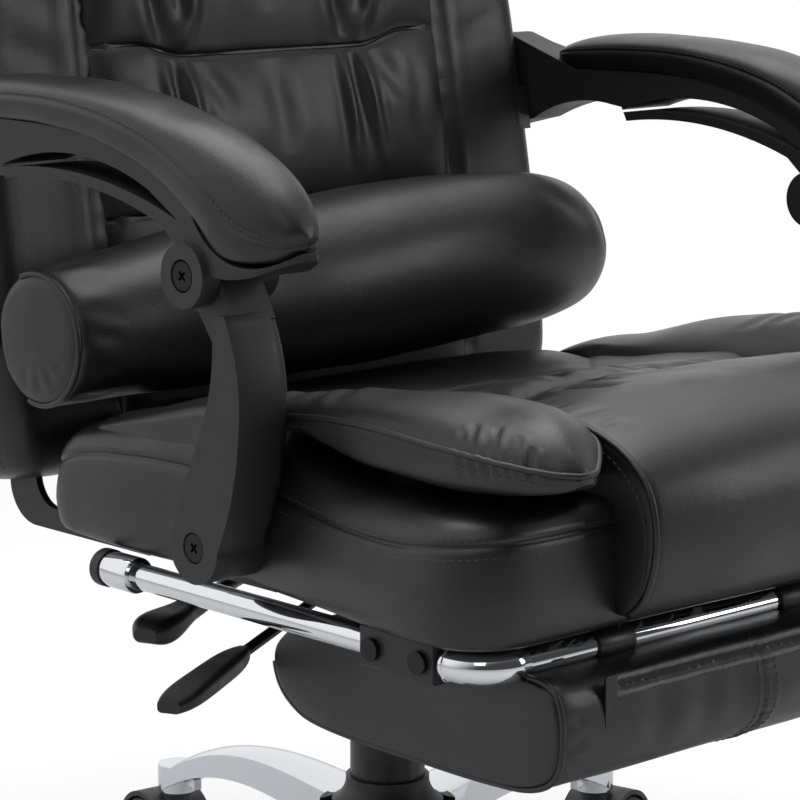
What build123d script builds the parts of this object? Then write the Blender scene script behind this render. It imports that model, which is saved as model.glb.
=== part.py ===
from build123d import *
import math
import os

# Reclining office chair with a pull-out footrest.
# Millimetres. +Z up, the sitter faces -Y, the sitter's right hand is at -X.
# The origin is on the floor, under the axis of the gas column.

# ---------------------------------------------------------------- driving dimensions
# casters
wheel_r = 25.0            # twin-wheel caster, 50 mm wheels
wheel_w = 17.0            # width of one wheel
wheel_gap = 12.0          # web of the hood between the two wheels, wider than the stem
caster_trail = 16.0       # axle behind the stem
caster_clear = 0.5        # gap between wheel, hood and leg
axle_r = 4.0
stem_r = 5.5
hood_h = 57.0             # top of the hood above the floor
run_fit = 0.05            # radial running clearance of every pivot

# five-star base
leg_count = 5
leg_turn = 12.0           # direction of the first leg, degrees from +X
leg_reach = 262.0         # column axis to caster stem
leg_w_root = 40.0
leg_w_tip = 28.0
leg_wall = 3.5
leg_top = 116.0           # top of a leg beside the hub
leg_tip = 75.0            # top of a leg over its caster
leg_tip_h = 20.0          # height of the boss that takes the stem
hub_r = 37.0
hub_low = 58.0
collar_h = 22.0           # plastic bell on the hub
collar_r = 46.0

# gas column
tube_r = 25.0
tube_wall = 1.8
tube_top = 268.0
cyl_r = 14.0
rod_r = 5.0
lift_stroke = 100.0

# mechanism under the seat
plate_t = 4.0
plate_x = 170.0
plate_y = 200.0
box_x = 96.0
box_y = 136.0
box_h = 52.0
screw_r = 3.0
screw_head_r = 6.5

# seat
seat_low = 330.0          # underside of the seat
board_t = 12.0            # plywood seat board
seat_top = 396.0          # flat top that carries the pads
seat_rear = 65.0
seat_front = -363.0
seat_w_rear = 241.0       # half width at the back
seat_w_arm = 244.0        # half width between the arm links
seat_w_front = 267.0      # half width ahead of the arm links
seat_bulge = 2.0
centre_w = 165.0          # half width of the centre panel
panel_nose = -391.0       # front of the centre panel's waterfall
pad_gap = 0.3

# arms
arm_w = 48.0              # width of the arm beam
wing_gap = 1.6            # wing of the beam to the side of the backrest
ear_w = 56.0              # width over the knuckle discs
ear_t = 13.0              # thickness of one knuckle ear
knuckle = (-152.8, 514.3) # pivot of the beam on the front link (Y, Z)
knuckle_r = 18.5
link_low = (-151.9, 358.8)  # pivot of the front link on the seat (Y, Z)
link_w = 42.0             # width of the front link
link_r = 21.0             # lower lobe of the link
bolt_r = 4.0
bolt_head_r = 8.2
bolt_head_t = 4.5
arm_pivot = (125.0, 556.0)  # pivot of the beam on the backrest (Y, Z)
arm_pad_w = 54.0
bracket_t = 2.5

# footrest
rail_x = 244.8
rail_z = 317.7
rail_r = 8.0
rail_rear = -17.6
bar_y = -344.2            # axis of the crossbar
elbow_bend = 22.0
elbow_r = 10.0
guide_len = 58.0
guide_front = -318.0
guide_w = 25.0
rest_half = 222.0         # half width of the leg pad
rest_low = 247.0
rest_front = -377.0
rest_rear = -142.0
rest_board_t = 9.0
zip_x = -184.0            # closed end of the leg pad's zip
zip_z = 309.0

# backrest, drawn upright and then leaned back
back_lean = 9.0           # degrees
back_y = 78.0             # lower front edge of the backrest
back_z = 351.0
back_h = 735.0
back_w = 240.0            # half width at the arms
back_depth = 92.0         # foam, front to board
back_board_t = 12.0
rear_skin = 8.0
back_foot = 30.0          # lower edge of the board, measured up the back
quilt_w = 157.0           # half width of the quilted panel
quilt_back = 12.0         # depth of the recess that holds it
quilt_seam_low = 160.0    # seams of the quilted panel, measured up the back
quilt_seam_mid = 263.0
head_h = 198.0            # height of the head pillow
head_high = back_h - 45.0
head_low = head_high - head_h
quilt_seam_top = head_low - 12.0
head_w = 168.0
hinge_x = 203.0           # outer face of the seat's hinge ear
hinge_t = 5.0
hinge_pin_r = 5.0
hinge_lobe = 14.0

# lumbar roll
roll_half = 245.0
roll_y = 51.0
roll_z = 458.0
roll_tilt = 2.2           # the roll hangs a little lower at the sitter's right, degrees
roll_r_end = 40.0
roll_r_mid = 56.0

# the backrest turns about the fourth corner of the arm's parallelogram
arm_x = max(
    seat_w_arm + 2 * pad_gap + link_w / 2,
    back_w + wing_gap + arm_w / 2,
)                         # centre plane of each arm, clear of the seat and the backrest
recline_axis = (
    arm_pivot[0] - (knuckle[0] - link_low[0]),
    arm_pivot[1] - (knuckle[1] - link_low[1]),
)
back_place = Pos(0, back_y, back_z) * Rot(-back_lean, 0, 0)


# ---------------------------------------------------------------- helpers
def outline(start, *steps):
    """Closed face from straight runs (end,) and arcs (middle, end)."""
    edges = []
    here = start
    for step in steps:
        if len(step) == 1:
            edges.append(Line(here, step[0]))
        else:
            edges.append(ThreePointArc(here, step[0], step[1]))
        here = step[-1]
    if (Vector(*here) - Vector(*start)).length > 1e-6:
        edges.append(Line(here, start))
    return make_face(edges)


def slab_x(face, x_low, x_high):
    """Extrude a face drawn in (Y, Z) between two X planes."""
    return extrude(Plane.YZ.offset(x_low) * face, x_high - x_low)


def rod_x(radius, x_low, x_high, y, z):
    """Cylinder along X."""
    return Pos((x_low + x_high) / 2, y, z) * Rot(0, 90, 0) * Cylinder(radius, x_high - x_low)


def rod_z(radius, z_low, z_high, x=0.0, y=0.0):
    """Cylinder along Z."""
    return Pos(x, y, (z_low + z_high) / 2) * Cylinder(radius, z_high - z_low)


def block(x_low, x_high, y_low, y_high, z_low, z_high):
    """Box between six planes."""
    size = (x_high - x_low, y_high - y_low, z_high - z_low)
    return Pos(x_low + size[0] / 2, y_low + size[1] / 2, z_low + size[2] / 2) * Box(*size)


def both_sides(shape):
    """The shape at +X and its mirror image at -X, as two solids."""
    return Compound(children=[*shape.solids(), *mirror(shape, about=Plane.YZ).solids()])


def group(shapes):
    """Several separate solids in one node."""
    return Compound(children=[solid for shape in shapes for solid in shape.solids()])


def save(name, shape):
    """Write one named piece."""
    export_step(shape, f"parts/{name}.step")


# ---------------------------------------------------------------- five-star base
def leg_height(r):
    """Top line of a leg: a low hump beyond the hub, falling steeply to the caster."""
    share = max(0.0, (r - hub_r) / (leg_reach - hub_r))
    return leg_top + 4.0 * math.sin(math.pi * share) - (leg_top - leg_tip) * share ** 3.2


def leg():
    """One arched leg, open underneath, with a boss for the caster stem."""
    tip_low = hood_h + caster_clear
    radii = [0.0, 0.35, 0.7, 0.9, 1.0]
    sections = []
    hollows = []
    for share in radii:
        r = hub_r * 0.6 + share * (leg_reach - hub_r * 0.6)
        half = (leg_w_root + share * (leg_w_tip - leg_w_root)) / 2
        top = leg_height(r)
        deep = 32.0 - 16.0 * share
        crown = 4.0
        for store, inset, sink in ((sections, 0.0, 0.0), (hollows, leg_wall, 8.0)):
            w = half - inset
            z_top = top - crown - inset
            z_low = top - deep - sink
            face = outline(
                (-w, z_low),
                ((-w, z_top),),
                ((0.0, z_top + crown), (w, z_top)),
                ((w, z_low),),
            )
            store.append(Plane.YZ.offset(r) * face)
    beam = loft(sections)
    hollow = loft(hollows) & block(hub_r + 6, leg_reach - 24, -60, 60, 0, 200)
    boss = rod_z(leg_w_tip / 2, tip_low, tip_low + leg_tip_h, leg_reach)
    bore = rod_z(stem_r, tip_low - 1, tip_low + leg_tip_h - 5, leg_reach)
    web = block(leg_reach - 28, leg_reach, -3, 3, tip_low + 6, tip_low + leg_tip_h - 6)
    return (beam - hollow) + boss + web - bore


def five_star_base():
    hub = rod_z(hub_r, hub_low, leg_top - 4)
    star = hub
    for k in range(leg_count):
        star += Rot(0, 0, leg_turn + k * 360 / leg_count) * leg()
    return star - rod_z(tube_r, hub_low - 1, leg_top + 20)


def base_collar():
    """Bell-shaped plastic cover over the hub, round the column."""
    low = leg_top - 4
    profile = outline(
        (tube_r, low),
        ((collar_r, low),),
        ((collar_r, low + 3),),
        ((collar_r - 13, low + 8), (tube_r + 3, low + collar_h)),
        ((tube_r, low + collar_h),),
    )
    bell = revolve(Plane.XZ * profile, Axis.Z)
    notches = [
        Rot(0, 0, leg_turn + k * 360 / leg_count)
        * block(0, collar_r + 5, -leg_w_root / 2, leg_w_root / 2, low - 5, leg_height(collar_r) + 0.3)
        for k in range(leg_count)
    ]
    for notch in notches:
        bell -= notch
    return bell


# ---------------------------------------------------------------- casters
def leg_spot(k):
    """Place of caster k, turned so that it trails along the leg."""
    return Rot(0, 0, leg_turn + k * 360 / leg_count) * Pos(leg_reach, 0, 0)


def caster_hood(k):
    """Moulded hood over two wheels, with the socket of the stem."""
    half = wheel_w + wheel_gap / 2
    shell_r = wheel_r + 5.0
    axle = (caster_trail, wheel_r)
    dome = Pos(axle[0], 0, axle[1]) * Rot(90, 0, 0) * Cylinder(shell_r, 2 * half - 2)
    dome = dome & block(-60, 60, -60, 60, wheel_r + 3, hood_h - 2)
    web = Pos(axle[0], 0, axle[1]) * Rot(90, 0, 0) * Cylinder(14.0, wheel_gap - 1.0)
    web += block(-9, axle[0] + 6, -(wheel_gap - 1) / 2, (wheel_gap - 1) / 2, wheel_r - 6, hood_h - 6)
    boss = rod_z(11.0, wheel_r + 4, hood_h)
    wells = group([
        Pos(axle[0], side * (wheel_gap + wheel_w) / 2, axle[1])
        * Rot(90, 0, 0)
        * Cylinder(wheel_r + 1.5, wheel_w + 2 * caster_clear)
        for side in (-1, 1)
    ])
    hood = (dome + boss + web) - wells + web
    hood -= rod_z(stem_r + run_fit, wheel_r + 14, hood_h + 1)
    hood -= Pos(axle[0], 0, axle[1]) * Rot(90, 0, 0) * Cylinder(axle_r + run_fit, 60)
    return leg_spot(k) * hood


def caster_wheels(k):
    """Two nylon wheels pressed on one axle."""
    pieces = []
    for side in (-1, 1):
        middle = side * (wheel_gap + wheel_w) / 2
        wheel = Pos(caster_trail, middle, wheel_r) * Rot(90, 0, 0) * Cylinder(wheel_r, wheel_w)
        rim = fillet(wheel.edges().filter_by(GeomType.CIRCLE), 4.0)
        dish = (
            Pos(caster_trail, side * (wheel_gap / 2 + wheel_w), wheel_r)
            * Rot(90, 0, 0)
            * (Cylinder(wheel_r - 7, 6) - Cylinder(axle_r + 5, 7))
        )
        hole = Pos(caster_trail, middle, wheel_r) * Rot(90, 0, 0) * Cylinder(axle_r, wheel_w + 2)
        pieces.append(rim - dish - hole)
    span = wheel_gap + 2 * wheel_w - 4
    pieces.append(Pos(caster_trail, 0, wheel_r) * Rot(90, 0, 0) * Cylinder(axle_r, span))
    return leg_spot(k) * group(pieces)


def caster_stems():
    """Five steel stems gripped in the leg bosses."""
    low = wheel_r + 15
    stem = rod_z(stem_r, low, hood_h + caster_clear + leg_tip_h - 6)
    return group([leg_spot(k) * stem for k in range(leg_count)])


# ---------------------------------------------------------------- gas column
def gas_outer_tube():
    """Column tube with a floor that carries the rod."""
    tube = rod_z(tube_r, hub_low, tube_top) - rod_z(tube_r - tube_wall, hub_low + 6, tube_top + 1)
    return tube - rod_z(rod_r + run_fit, hub_low - 1, hub_low + 7)


def gas_guide_bush():
    """Plastic sleeve that guides the cylinder in the tube."""
    sleeve = rod_z(tube_r - tube_wall, tube_top - 92, tube_top) + rod_z(tube_r, tube_top, tube_top + 4)
    return sleeve - rod_z(cyl_r + run_fit, tube_top - 93, tube_top + 5)


def gas_rod():
    """Piston rod, free to turn in the floor of the tube."""
    rod = rod_z(rod_r, hub_low, tube_top - 10)
    return rod + rod_z(rod_r + 6, hub_low + 6.3, hub_low + 11)


def gas_cylinder():
    """Pressure cylinder, fixed in the mechanism's socket."""
    top = seat_low - plate_t
    low = hub_low + 16
    body = rod_z(cyl_r, low, top - 2)
    return body - rod_z(rod_r + run_fit, low - 1, top - 26)


# ---------------------------------------------------------------- mechanism
def mechanism_plate():
    """Pressed steel plate screwed to the seat board."""
    top = seat_low
    plate = block(-plate_x / 2, plate_x / 2, -plate_y / 2, plate_y / 2, top - plate_t, top)
    plate = fillet(plate.edges().filter_by(Axis.Z), 18.0)
    for x, y in screw_spots():
        plate -= rod_z(screw_r, top - plate_t - 1, top + 1, x, y)
    return plate


def screw_spots():
    """Four screws near the corners of the plate."""
    dx = plate_x / 2 - 18
    dy = plate_y / 2 - 20
    return [(dx, dy), (dx, -dy), (-dx, dy), (-dx, -dy)]


def mechanism_housing():
    """Box of the tilt mechanism with the socket of the gas cylinder."""
    top = seat_low - plate_t
    box = block(-box_x / 2, box_x / 2, -box_y / 2, box_y / 2, top - box_h, top)
    box = fillet(box.edges().filter_by(Axis.Z), 16.0)
    box = fillet(box.faces().sort_by(Axis.Z)[0].edges(), 5.0)
    box -= rod_z(cyl_r, top - box_h - 1, top - 2)
    for pivot in (height_pivot(), recline_pivot()):
        box -= pivot * lever_barrel(run_fit)
    return box


def seat_screws():
    """Pan-head screws of the plate and of the two rail guides, all alike."""
    pieces = []
    for x, y in screw_spots():
        shank = rod_z(screw_r, seat_low - plate_t, seat_low + board_t - 3, x, y)
        head = rod_z(screw_head_r, seat_low - plate_t - 3.2, seat_low - plate_t, x, y)
        pieces.append(shank + head)
    face = rail_x + guide_w / 2
    for side in (-1, 1):
        for y in guide_screw_y():
            head = rod_x(screw_head_r, face, face + 3.2, y, rail_z + 0.5)
            tail = rod_x(screw_r, face - 3, face, y, rail_z + 0.5)
            screw = head + tail
            pieces.append(screw if side > 0 else mirror(screw, about=Plane.YZ))
    return group(pieces)


# ---------------------------------------------------------------- levers
barrel_r = 6.5            # cross barrel that each lever turns on
barrel_len = 14.0
barrel_depth = 3.0        # barrel's axis inside the face of the mechanism
lever_r = 4.0
grip_len = 104.0
grip_w = 21.0
grip_t = 12.0
height_dir = -154.0       # plan direction of the height lever, degrees from +X
height_drop = 3.6         # degrees below level
height_tip = 287.0        # pivot to end of the grip
height_y = -22.0
recline_dir = -156.5
recline_drop = 3.9
recline_y = 52.0
recline_len = 155.0       # shaft, pivot to the start of the paddle
paddle_len = 54.0
paddle_w = 26.0
lever_z = 286.0


def lever_frame(y, direction, drop):
    """Frame at a lever's pivot, local +X along the lever."""
    return Pos(-box_x / 2 + barrel_depth, y, lever_z) * Rot(0, 0, direction) * Rot(0, drop, 0)


def height_pivot():
    return lever_frame(height_y, height_dir, height_drop)


def recline_pivot():
    return lever_frame(recline_y, recline_dir, recline_drop)


def lever_barrel(clearance):
    """Round cross barrel at a lever's pivot, or its socket."""
    return Rot(90, 0, 0) * Cylinder(barrel_r + clearance, barrel_len + 2 * clearance)


def height_lever_rod():
    """Steel rod of the height lever, with its barrel."""
    end = height_tip - grip_len + 30
    rod = Rot(0, 90, 0) * Pos(0, 0, end / 2) * Cylinder(lever_r - 0.5, end)
    return height_pivot() * (rod + lever_barrel(0.0))


def height_lever_grip():
    """Flat moulded grip pushed on the rod."""
    start = height_tip - grip_len
    sections = []
    for share, w, t in ((0.0, 9, 9), (0.12, 16, 11), (0.5, grip_w, grip_t), (0.85, grip_w, 10), (1.0, 14, 7)):
        face = RectangleRounded(t, w, min(t, w) * 0.35)
        sections.append(Plane.YZ.offset(start + share * grip_len) * Rot(0, 0, 90) * face)
    grip = loft(sections)
    grip -= Rot(0, 90, 0) * Pos(0, 0, start + 14) * Cylinder(lever_r - 0.5, 32)
    return height_pivot() * grip


def recline_lever():
    """Moulded lever that frees the recline lock, drooping to a paddle."""
    shaft = Rot(0, 90, 0) * Pos(0, 0, recline_len / 2) * Cylinder(lever_r + 1, recline_len)
    sections = []
    spots = ((-44, 0.0, 11, 11), (-14, -1.0, 17, 13), (14, -4.0, paddle_w, 15), (paddle_len - 8, -12.0, 24, 14))
    for run, sink, w, t in spots + ((paddle_len, -14.0, 15, 8),):
        face = RectangleRounded(t, w, min(t, w) * 0.38)
        sections.append(Pos(0, 0, sink) * Plane.YZ.offset(recline_len + run) * Rot(0, 0, 90) * face)
    return recline_pivot() * (shaft + lever_barrel(0.0) + loft(sections))


# ---------------------------------------------------------------- seat
def seat_plan(z, inset):
    """Plan of the seat: flared ahead of the arms, drawn in between them."""
    w_rear = seat_w_rear - inset
    w_arm = seat_w_arm - inset
    w_front = seat_w_front - inset
    rear = seat_rear - inset
    front = seat_front + inset
    rc = 34.0
    fc = 46.0
    k = math.sqrt(0.5)
    face = outline(
        (-w_rear + rc, rear),
        ((w_rear - rc, rear),),
        ((w_rear - rc + rc * k, rear - rc + rc * k), (w_rear, rear - rc)),
        ((w_arm, -100.0), (w_front, front + fc)),
        ((w_front - fc + fc * k, front + fc - fc * k), (w_front - fc, front)),
        ((-w_front + fc, front),),
        ((-w_front + fc - fc * k, front + fc - fc * k), (-w_front, front + fc)),
        ((-w_arm, -100.0), (-w_rear, rear - rc)),
        ((-w_rear + rc - rc * k, rear - rc + rc * k), (-w_rear + rc, rear)),
    )
    return Pos(0, 0, z) * face


def seat_board():
    """Plywood board, flush with the underside of the seat."""
    board = extrude(seat_plan(seat_low, 12.0), board_t)
    for x, y in screw_spots():
        board -= rod_z(screw_r, seat_low - 1, seat_low + board_t - 3, x, y)
    return board - arm_brackets()


def seat_base_cushion():
    """Foam and cover round the board: a boxed side with a seam near the top."""
    rise = seat_top - seat_low
    levels = ((0.0, 7.0), (0.16, 0.0), (0.5, -seat_bulge), (0.86, 0.0), (1.0, 17.0))
    body = loft([seat_plan(seat_low + share * rise, inset) for share, inset in levels])
    body -= extrude(seat_plan(seat_low, 12.0), board_t)
    body -= block(-seat_w_front - 9, seat_w_front + 9, seat_front - 9, seat_rear + 9, seat_top, seat_top + 9)
    body -= block(-centre_w - pad_gap, centre_w + pad_gap, seat_front - 20, seat_front + 1, 0, seat_top + 5)
    recess = block(seat_w_arm, seat_w_arm + 30, link_low[0] - 40, link_low[0] + 30, 0, seat_top + 9)
    return body - both_sides(recess) - arm_brackets() - link_bolts()


def seat_centre_panel():
    """Waterfall panel over the middle of the seat, crowned, with one sewn channel."""
    back = seat_front + 1 - pad_gap
    sections = []
    for x, lift in ((-centre_w, 0.0), (-centre_w * 0.6, 8.0), (0.0, 12.0), (centre_w * 0.6, 8.0), (centre_w, 0.0)):
        z = seat_top + lift
        face = outline(
            (seat_rear - 16, seat_top),
            ((seat_rear - 16, z + 2),),
            ((-90.0, z + 6), (-230.0, z + 25)),
            ((-300.0, z + 41), (-352.0, z + 39)),
            ((-382.0, z + 20), (panel_nose, seat_low + 47)),
            ((panel_nose + 5, seat_low + 22), (panel_nose + 20, seat_low + 8)),
            ((back, seat_low + 8),),
            ((back, seat_top),),
        )
        sections.append(Plane.YZ.offset(x) * face)
    panel = loft(sections)
    channel = rod_x(26.0, -centre_w - 10, centre_w + 10, -128.0, seat_top + 12 + 8 + 22.0)
    return panel - channel


def seat_side_pad():
    """Pillow bolster on the side of the seat, overhanging at the front."""
    inner = centre_w + pad_gap
    stations = (
        (seat_rear - 16, seat_w_arm - 15, 4.0, 6.0, 4.0),
        (0.0, seat_w_arm - 4, 8.0, 16.0, 8.0),
        (-60.0, seat_w_arm - 1, 14.0, 28.0, 12.0),
        (-120.0, seat_w_arm - 1, 21.0, 40.0, 18.0),
        (-190.0, seat_w_arm, 27.0, 53.0, 26.0),
        (-265.0, seat_w_front - 17, 32.0, 62.0, 34.0),
        (-330.0, seat_w_front - 14, 34.0, 64.0, 38.0),
        (-378.0, seat_w_front - 18, 34.0, 55.0, 34.0),
        (-402.0, seat_w_front - 31, 28.0, 38.0, 24.0),
    )
    sections = []
    for y, w, seam, crown, inside in stations:
        mid = (inner + w) / 2 + 4
        face = outline(
            (inner, seat_top),
            ((w - 26, seat_top),),
            ((w - 8, seat_top + seam * 0.45), (w, seat_top + seam)),
            ((mid, seat_top + crown), (inner, seat_top + inside)),
        )
        sections.append(Plane.XZ.offset(-y) * face)
    return loft(sections)


# ---------------------------------------------------------------- arms
def arm_brackets():
    """Steel angles let into the seat board that carry the front links."""
    x = seat_w_arm - bracket_t
    y, z = link_low
    upright = slab_x(
        outline((y - 22, seat_low), ((y - 22, z),), ((y, z + 22), (y + 22, z)), ((y + 22, seat_low),)),
        x, x + bracket_t)
    foot = block(x - 40, x + bracket_t, y - 22, y + 22, seat_low, seat_low + bracket_t)
    angle = upright + foot - rod_x(bolt_r, x - 1, x + bracket_t + 1, y, z)
    return both_sides(angle)


def link_inner():
    return arm_x - link_w / 2


def front_link():
    """Tapering blade between the seat and the knuckle."""
    ky, kz = knuckle
    by, bz = link_low
    x0 = link_inner()
    x1 = x0 + link_w
    blade_face = outline(
        (by + link_r, bz),
        ((by + 4, bz + 42), (ky - 7, bz + 69)),
        ((ky - 16, kz - 58), (ky - 17, kz - 22)),
        ((ky - 28, kz - 20),),
        ((ky - 40, kz - 60), (ky - 40, kz - 82)),
        ((by - 34, bz + 33), (by - link_r, bz)),
        ((by, bz - link_r), (by + link_r, bz)),
    )
    blade = slab_x(blade_face, x0, x1)
    front = blade.edges().filter_by(lambda e: e.center().Y < ky - 26 and abs(e.center().X - x0) < 0.1)
    blade = fillet(front, 13.0)
    ear = arm_x - ear_w / 2 + ear_t + pad_gap
    ear_out = arm_x + ear_w / 2 - ear_t - pad_gap
    tongue_r = knuckle_r - 1.5
    tongue = slab_x(
        outline((ky + tongue_r, kz), ((ky, kz + tongue_r), (ky - tongue_r, kz)),
                ((ky - 30, kz - 24),), ((ky - 12, kz - 40),)),
        ear, ear_out)
    body = blade + tongue
    body -= rod_x(bolt_r + run_fit, x0 - 20, x1 + 20, ky, kz)
    body -= rod_x(bolt_r + run_fit, x0 - 20, x1 + 20, by, bz)
    body -= rod_x(bolt_head_r + 0.8, x1 - bolt_head_t, x1 + 5, by, bz)
    return body


def link_bolts():
    """Shoulder bolts from the links into the seat brackets."""
    y, z = link_low
    x_in = seat_w_arm - bracket_t
    x_out = link_inner() + link_w
    head = rod_x(bolt_head_r, x_out - bolt_head_t + pad_gap, x_out - 0.5, y, z)
    shank = rod_x(bolt_r, x_in, x_out - bolt_head_t + pad_gap, y, z)
    return both_sides(cross_slot(head, x_out - 0.5, y, z) + shank)


def cross_slot(head, x_face, y, z):
    """Cross recess in a screw head that faces +X."""
    for turn in (45, 135):
        head -= Pos(x_face, y, z) * Rot(turn, 0, 0) * Box(4.0, 7.0, 1.8)
    return head


def arm_beam():
    """Moulded beam: a bow under the pad, a slim strut below it, ears at the knuckle
    and a wing that is bolted to the side of the backrest."""
    ky, kz = knuckle
    ay, az = arm_pivot
    x0 = arm_x - arm_w / 2
    x1 = arm_x + arm_w / 2
    bow = outline(
        (ky - 76, kz + 18),
        ((ky - 55, kz + 9), (ky - 34, kz + 10.5)),
        ((ky - 16, kz + 20), (ky - 3, kz + 37)),
        ((ky + 42, kz + 62), (ky + 106, kz + 73.5)),
        ((ky + 150, kz + 75), (ay - 58, az + 32)),
        ((ay + 10, az + 54),),
        ((ay + 48, az + 22), (ay + 20, az - 15)),
        ((ay - 16, az - 6),),
        ((ay - 40, az + 5), (ay - 94, az + 9)),
        ((ay - 103, az + 8),),
        ((ay - 108, az - 1.5),),
        ((ky + 92, kz + 42), (ky + 22, kz + 26)),
        ((ky + 10, kz + 16),),
        ((ky, kz - 2),),
        ((ky - 16, kz + 2),),
        ((ky - 28, kz + 1), (ky - 52, kz + 4)),
        ((ky - 75, kz + 13),),
    )
    slot = outline(
        (ay - 104, az + 6),
        ((ky + 100, kz + 59.5), (ky + 34, kz + 45)),
        ((ky + 8, kz + 30),),
        ((ky + 48, kz + 41.5), (ay - 104, az + 4.5)),
    )
    body = slab_x(bow, x0, x1) - slab_x(slot, x0 - 1, x1 + 1)
    nose = Pos(arm_x, ky - 24, kz - 10) * extrude(Ellipse(arm_w / 2, 53), 80)
    body -= block(x0 - 1, x1 + 1, ky - 90, ky - 24, kz - 9, kz + 60) - nose
    for low in (arm_x - ear_w / 2, arm_x + ear_w / 2 - ear_t):
        body += rod_x(knuckle_r, low, low + ear_t, ky, kz)
    gap_low = arm_x - ear_w / 2 + ear_t
    gap_high = arm_x + ear_w / 2 - ear_t
    body -= rod_x(knuckle_r, gap_low, gap_high, ky, kz)
    body -= slab_x(
        outline((ky + 3, kz), ((ky - 16, kz + 12),), ((ky - 30, kz + 8),),
                ((ky - 60, kz - 30),), ((ky + 20, kz - 40),)),
        gap_low, gap_high)
    outer = outline((x1 + 1, ay - 75), ((x1 + 1, ay + 80),), ((x0 + 20, ay + 80),), ((x0 + 26, ay - 10),))
    body -= Pos(0, 0, az - 60) * extrude(outer, 160)
    body -= rod_x(bolt_r + run_fit, x0 - 1, x1 + 1, ay, az)
    body -= rod_x(bolt_r, x0 - 20, x1 + 20, ky, kz)
    body -= rod_x(bolt_head_r + 1.2, arm_x + ear_w / 2 - bolt_head_t, x1 + 20, ky, kz)
    return body


def knuckle_bolt():
    """Bolt through the ears of the beam and the tongue of the link."""
    y, z = knuckle
    x_in = arm_x - ear_w / 2
    x_out = arm_x + ear_w / 2
    head = rod_x(bolt_head_r, x_out - bolt_head_t, x_out - 0.5, y, z)
    return cross_slot(head, x_out - 0.5, y, z) + rod_x(bolt_r, x_in, x_out - bolt_head_t, y, z)


def arm_pad():
    """Upholstered pad on the beam, rounded in plan at both ends and crowned across."""
    ky, kz = knuckle
    ay, az = arm_pivot
    half = arm_pad_w / 2
    sections = []
    for x, sink in ((-half - 2, 16.0), (-half + 5, 5.0), (-half + 13, 1.0), (0.0, 0.0),
                    (half - 13, 1.0), (half - 5, 5.0), (half + 2, 16.0)):
        side = outline(
            (ay - 58, az + 32),
            ((ky + 150, kz + 75), (ky + 106, kz + 73.5)),
            ((ky + 42, kz + 62), (ky - 3, kz + 37)),
            ((ky - 16, kz + 20), (ky - 34, kz + 10.5)),
            ((ky - 55, kz + 9), (ky - 76, kz + 18)),
            ((ky - 70, kz + 42 - sink * 0.6), (ky - 40, kz + 66 - sink)),
            ((ky + 30, kz + 94 - sink), (ky + 118, kz + 100 - sink)),
            ((ay - 62, az + 56 - sink),),
            ((ay - 43, az + 52 - sink * 0.7), (ay - 34, az + 42)),
        )
        sections.append(Plane.YZ.offset(arm_x + x) * side)
    length = ay - 34 - ky + 75
    plan = Pos(arm_x, (ky - 76 + ay - 34) / 2, 400) * RectangleRounded(length, arm_pad_w, half - 1, rotation=90)
    return extrude(plan, 400) & loft(sections)


# ---------------------------------------------------------------- footrest
def guide_screw_y():
    return (guide_front + 10, guide_front + guide_len - 10)


def footrest_guide():
    """Block under the seat board that the rail slides in."""
    half = guide_w / 2
    top = seat_low
    body = block(rail_x - half, rail_x + half, guide_front, guide_front + guide_len, rail_z - rail_r - 3, top)
    body = fillet(body.edges().filter_by(Axis.Y).sort_by(Axis.Z)[0:2], 2.0)
    body -= Pos(rail_x, guide_front + guide_len / 2, rail_z) * Rot(90, 0, 0) * Cylinder(
        rail_r + run_fit, guide_len + 2)
    for y in guide_screw_y():
        body -= rod_x(screw_r, rail_x + half - 3, rail_x + half + 1, y, rail_z + 0.5)
    return body


def rail_y(y_low, y_high, radius):
    return Pos(rail_x, (y_low + y_high) / 2, rail_z) * Rot(90, 0, 0) * Cylinder(radius, y_high - y_low)


def footrest_rails():
    """Two chromed rails, from the stop sleeve to the elbow."""
    return both_sides(rail_y(bar_y + elbow_bend, rail_rear - 4, rail_r))


def rail_sleeves():
    """Chromed stop sleeves near the rear end of the rails."""
    sleeve = rail_y(rail_rear - 30, rail_rear - 4, rail_r + 3) - rail_y(rail_rear - 31, rail_rear, rail_r)
    return both_sides(sleeve)


def rail_caps():
    """Black plastic caps that close the rails at the rear."""
    cap = rail_y(rail_rear - 4, rail_rear + 5, rail_r + 3.6)
    return both_sides(fillet(cap.edges().filter_by(GeomType.CIRCLE).sort_by(Axis.Y)[-1], 2.5))


def footrest_elbows():
    """Cast chromed elbows that join the rails to the crossbar."""
    ring = Pos(rail_x - elbow_bend, bar_y + elbow_bend, rail_z) * Torus(elbow_bend, elbow_r)
    quarter = ring & block(rail_x - elbow_bend, rail_x + 40, bar_y - 40, bar_y + elbow_bend, 0, 600)
    quarter += rail_y(bar_y + elbow_bend, bar_y + elbow_bend + 3.5, elbow_r + 1) - rail_y(
        bar_y + elbow_bend, bar_y + elbow_bend + 4, rail_r)
    collar = rod_x(elbow_r - 1, rail_x - elbow_bend - 6, rail_x - elbow_bend, bar_y, rail_z)
    quarter += collar - rod_x(rail_r, rail_x - elbow_bend - 7, rail_x - elbow_bend, bar_y, rail_z)
    return both_sides(quarter)


def footrest_crossbar():
    """Chromed bar that the leg pad turns on."""
    half = rail_x - elbow_bend
    return rod_x(rail_r, -half, half, bar_y, rail_z)


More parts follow.
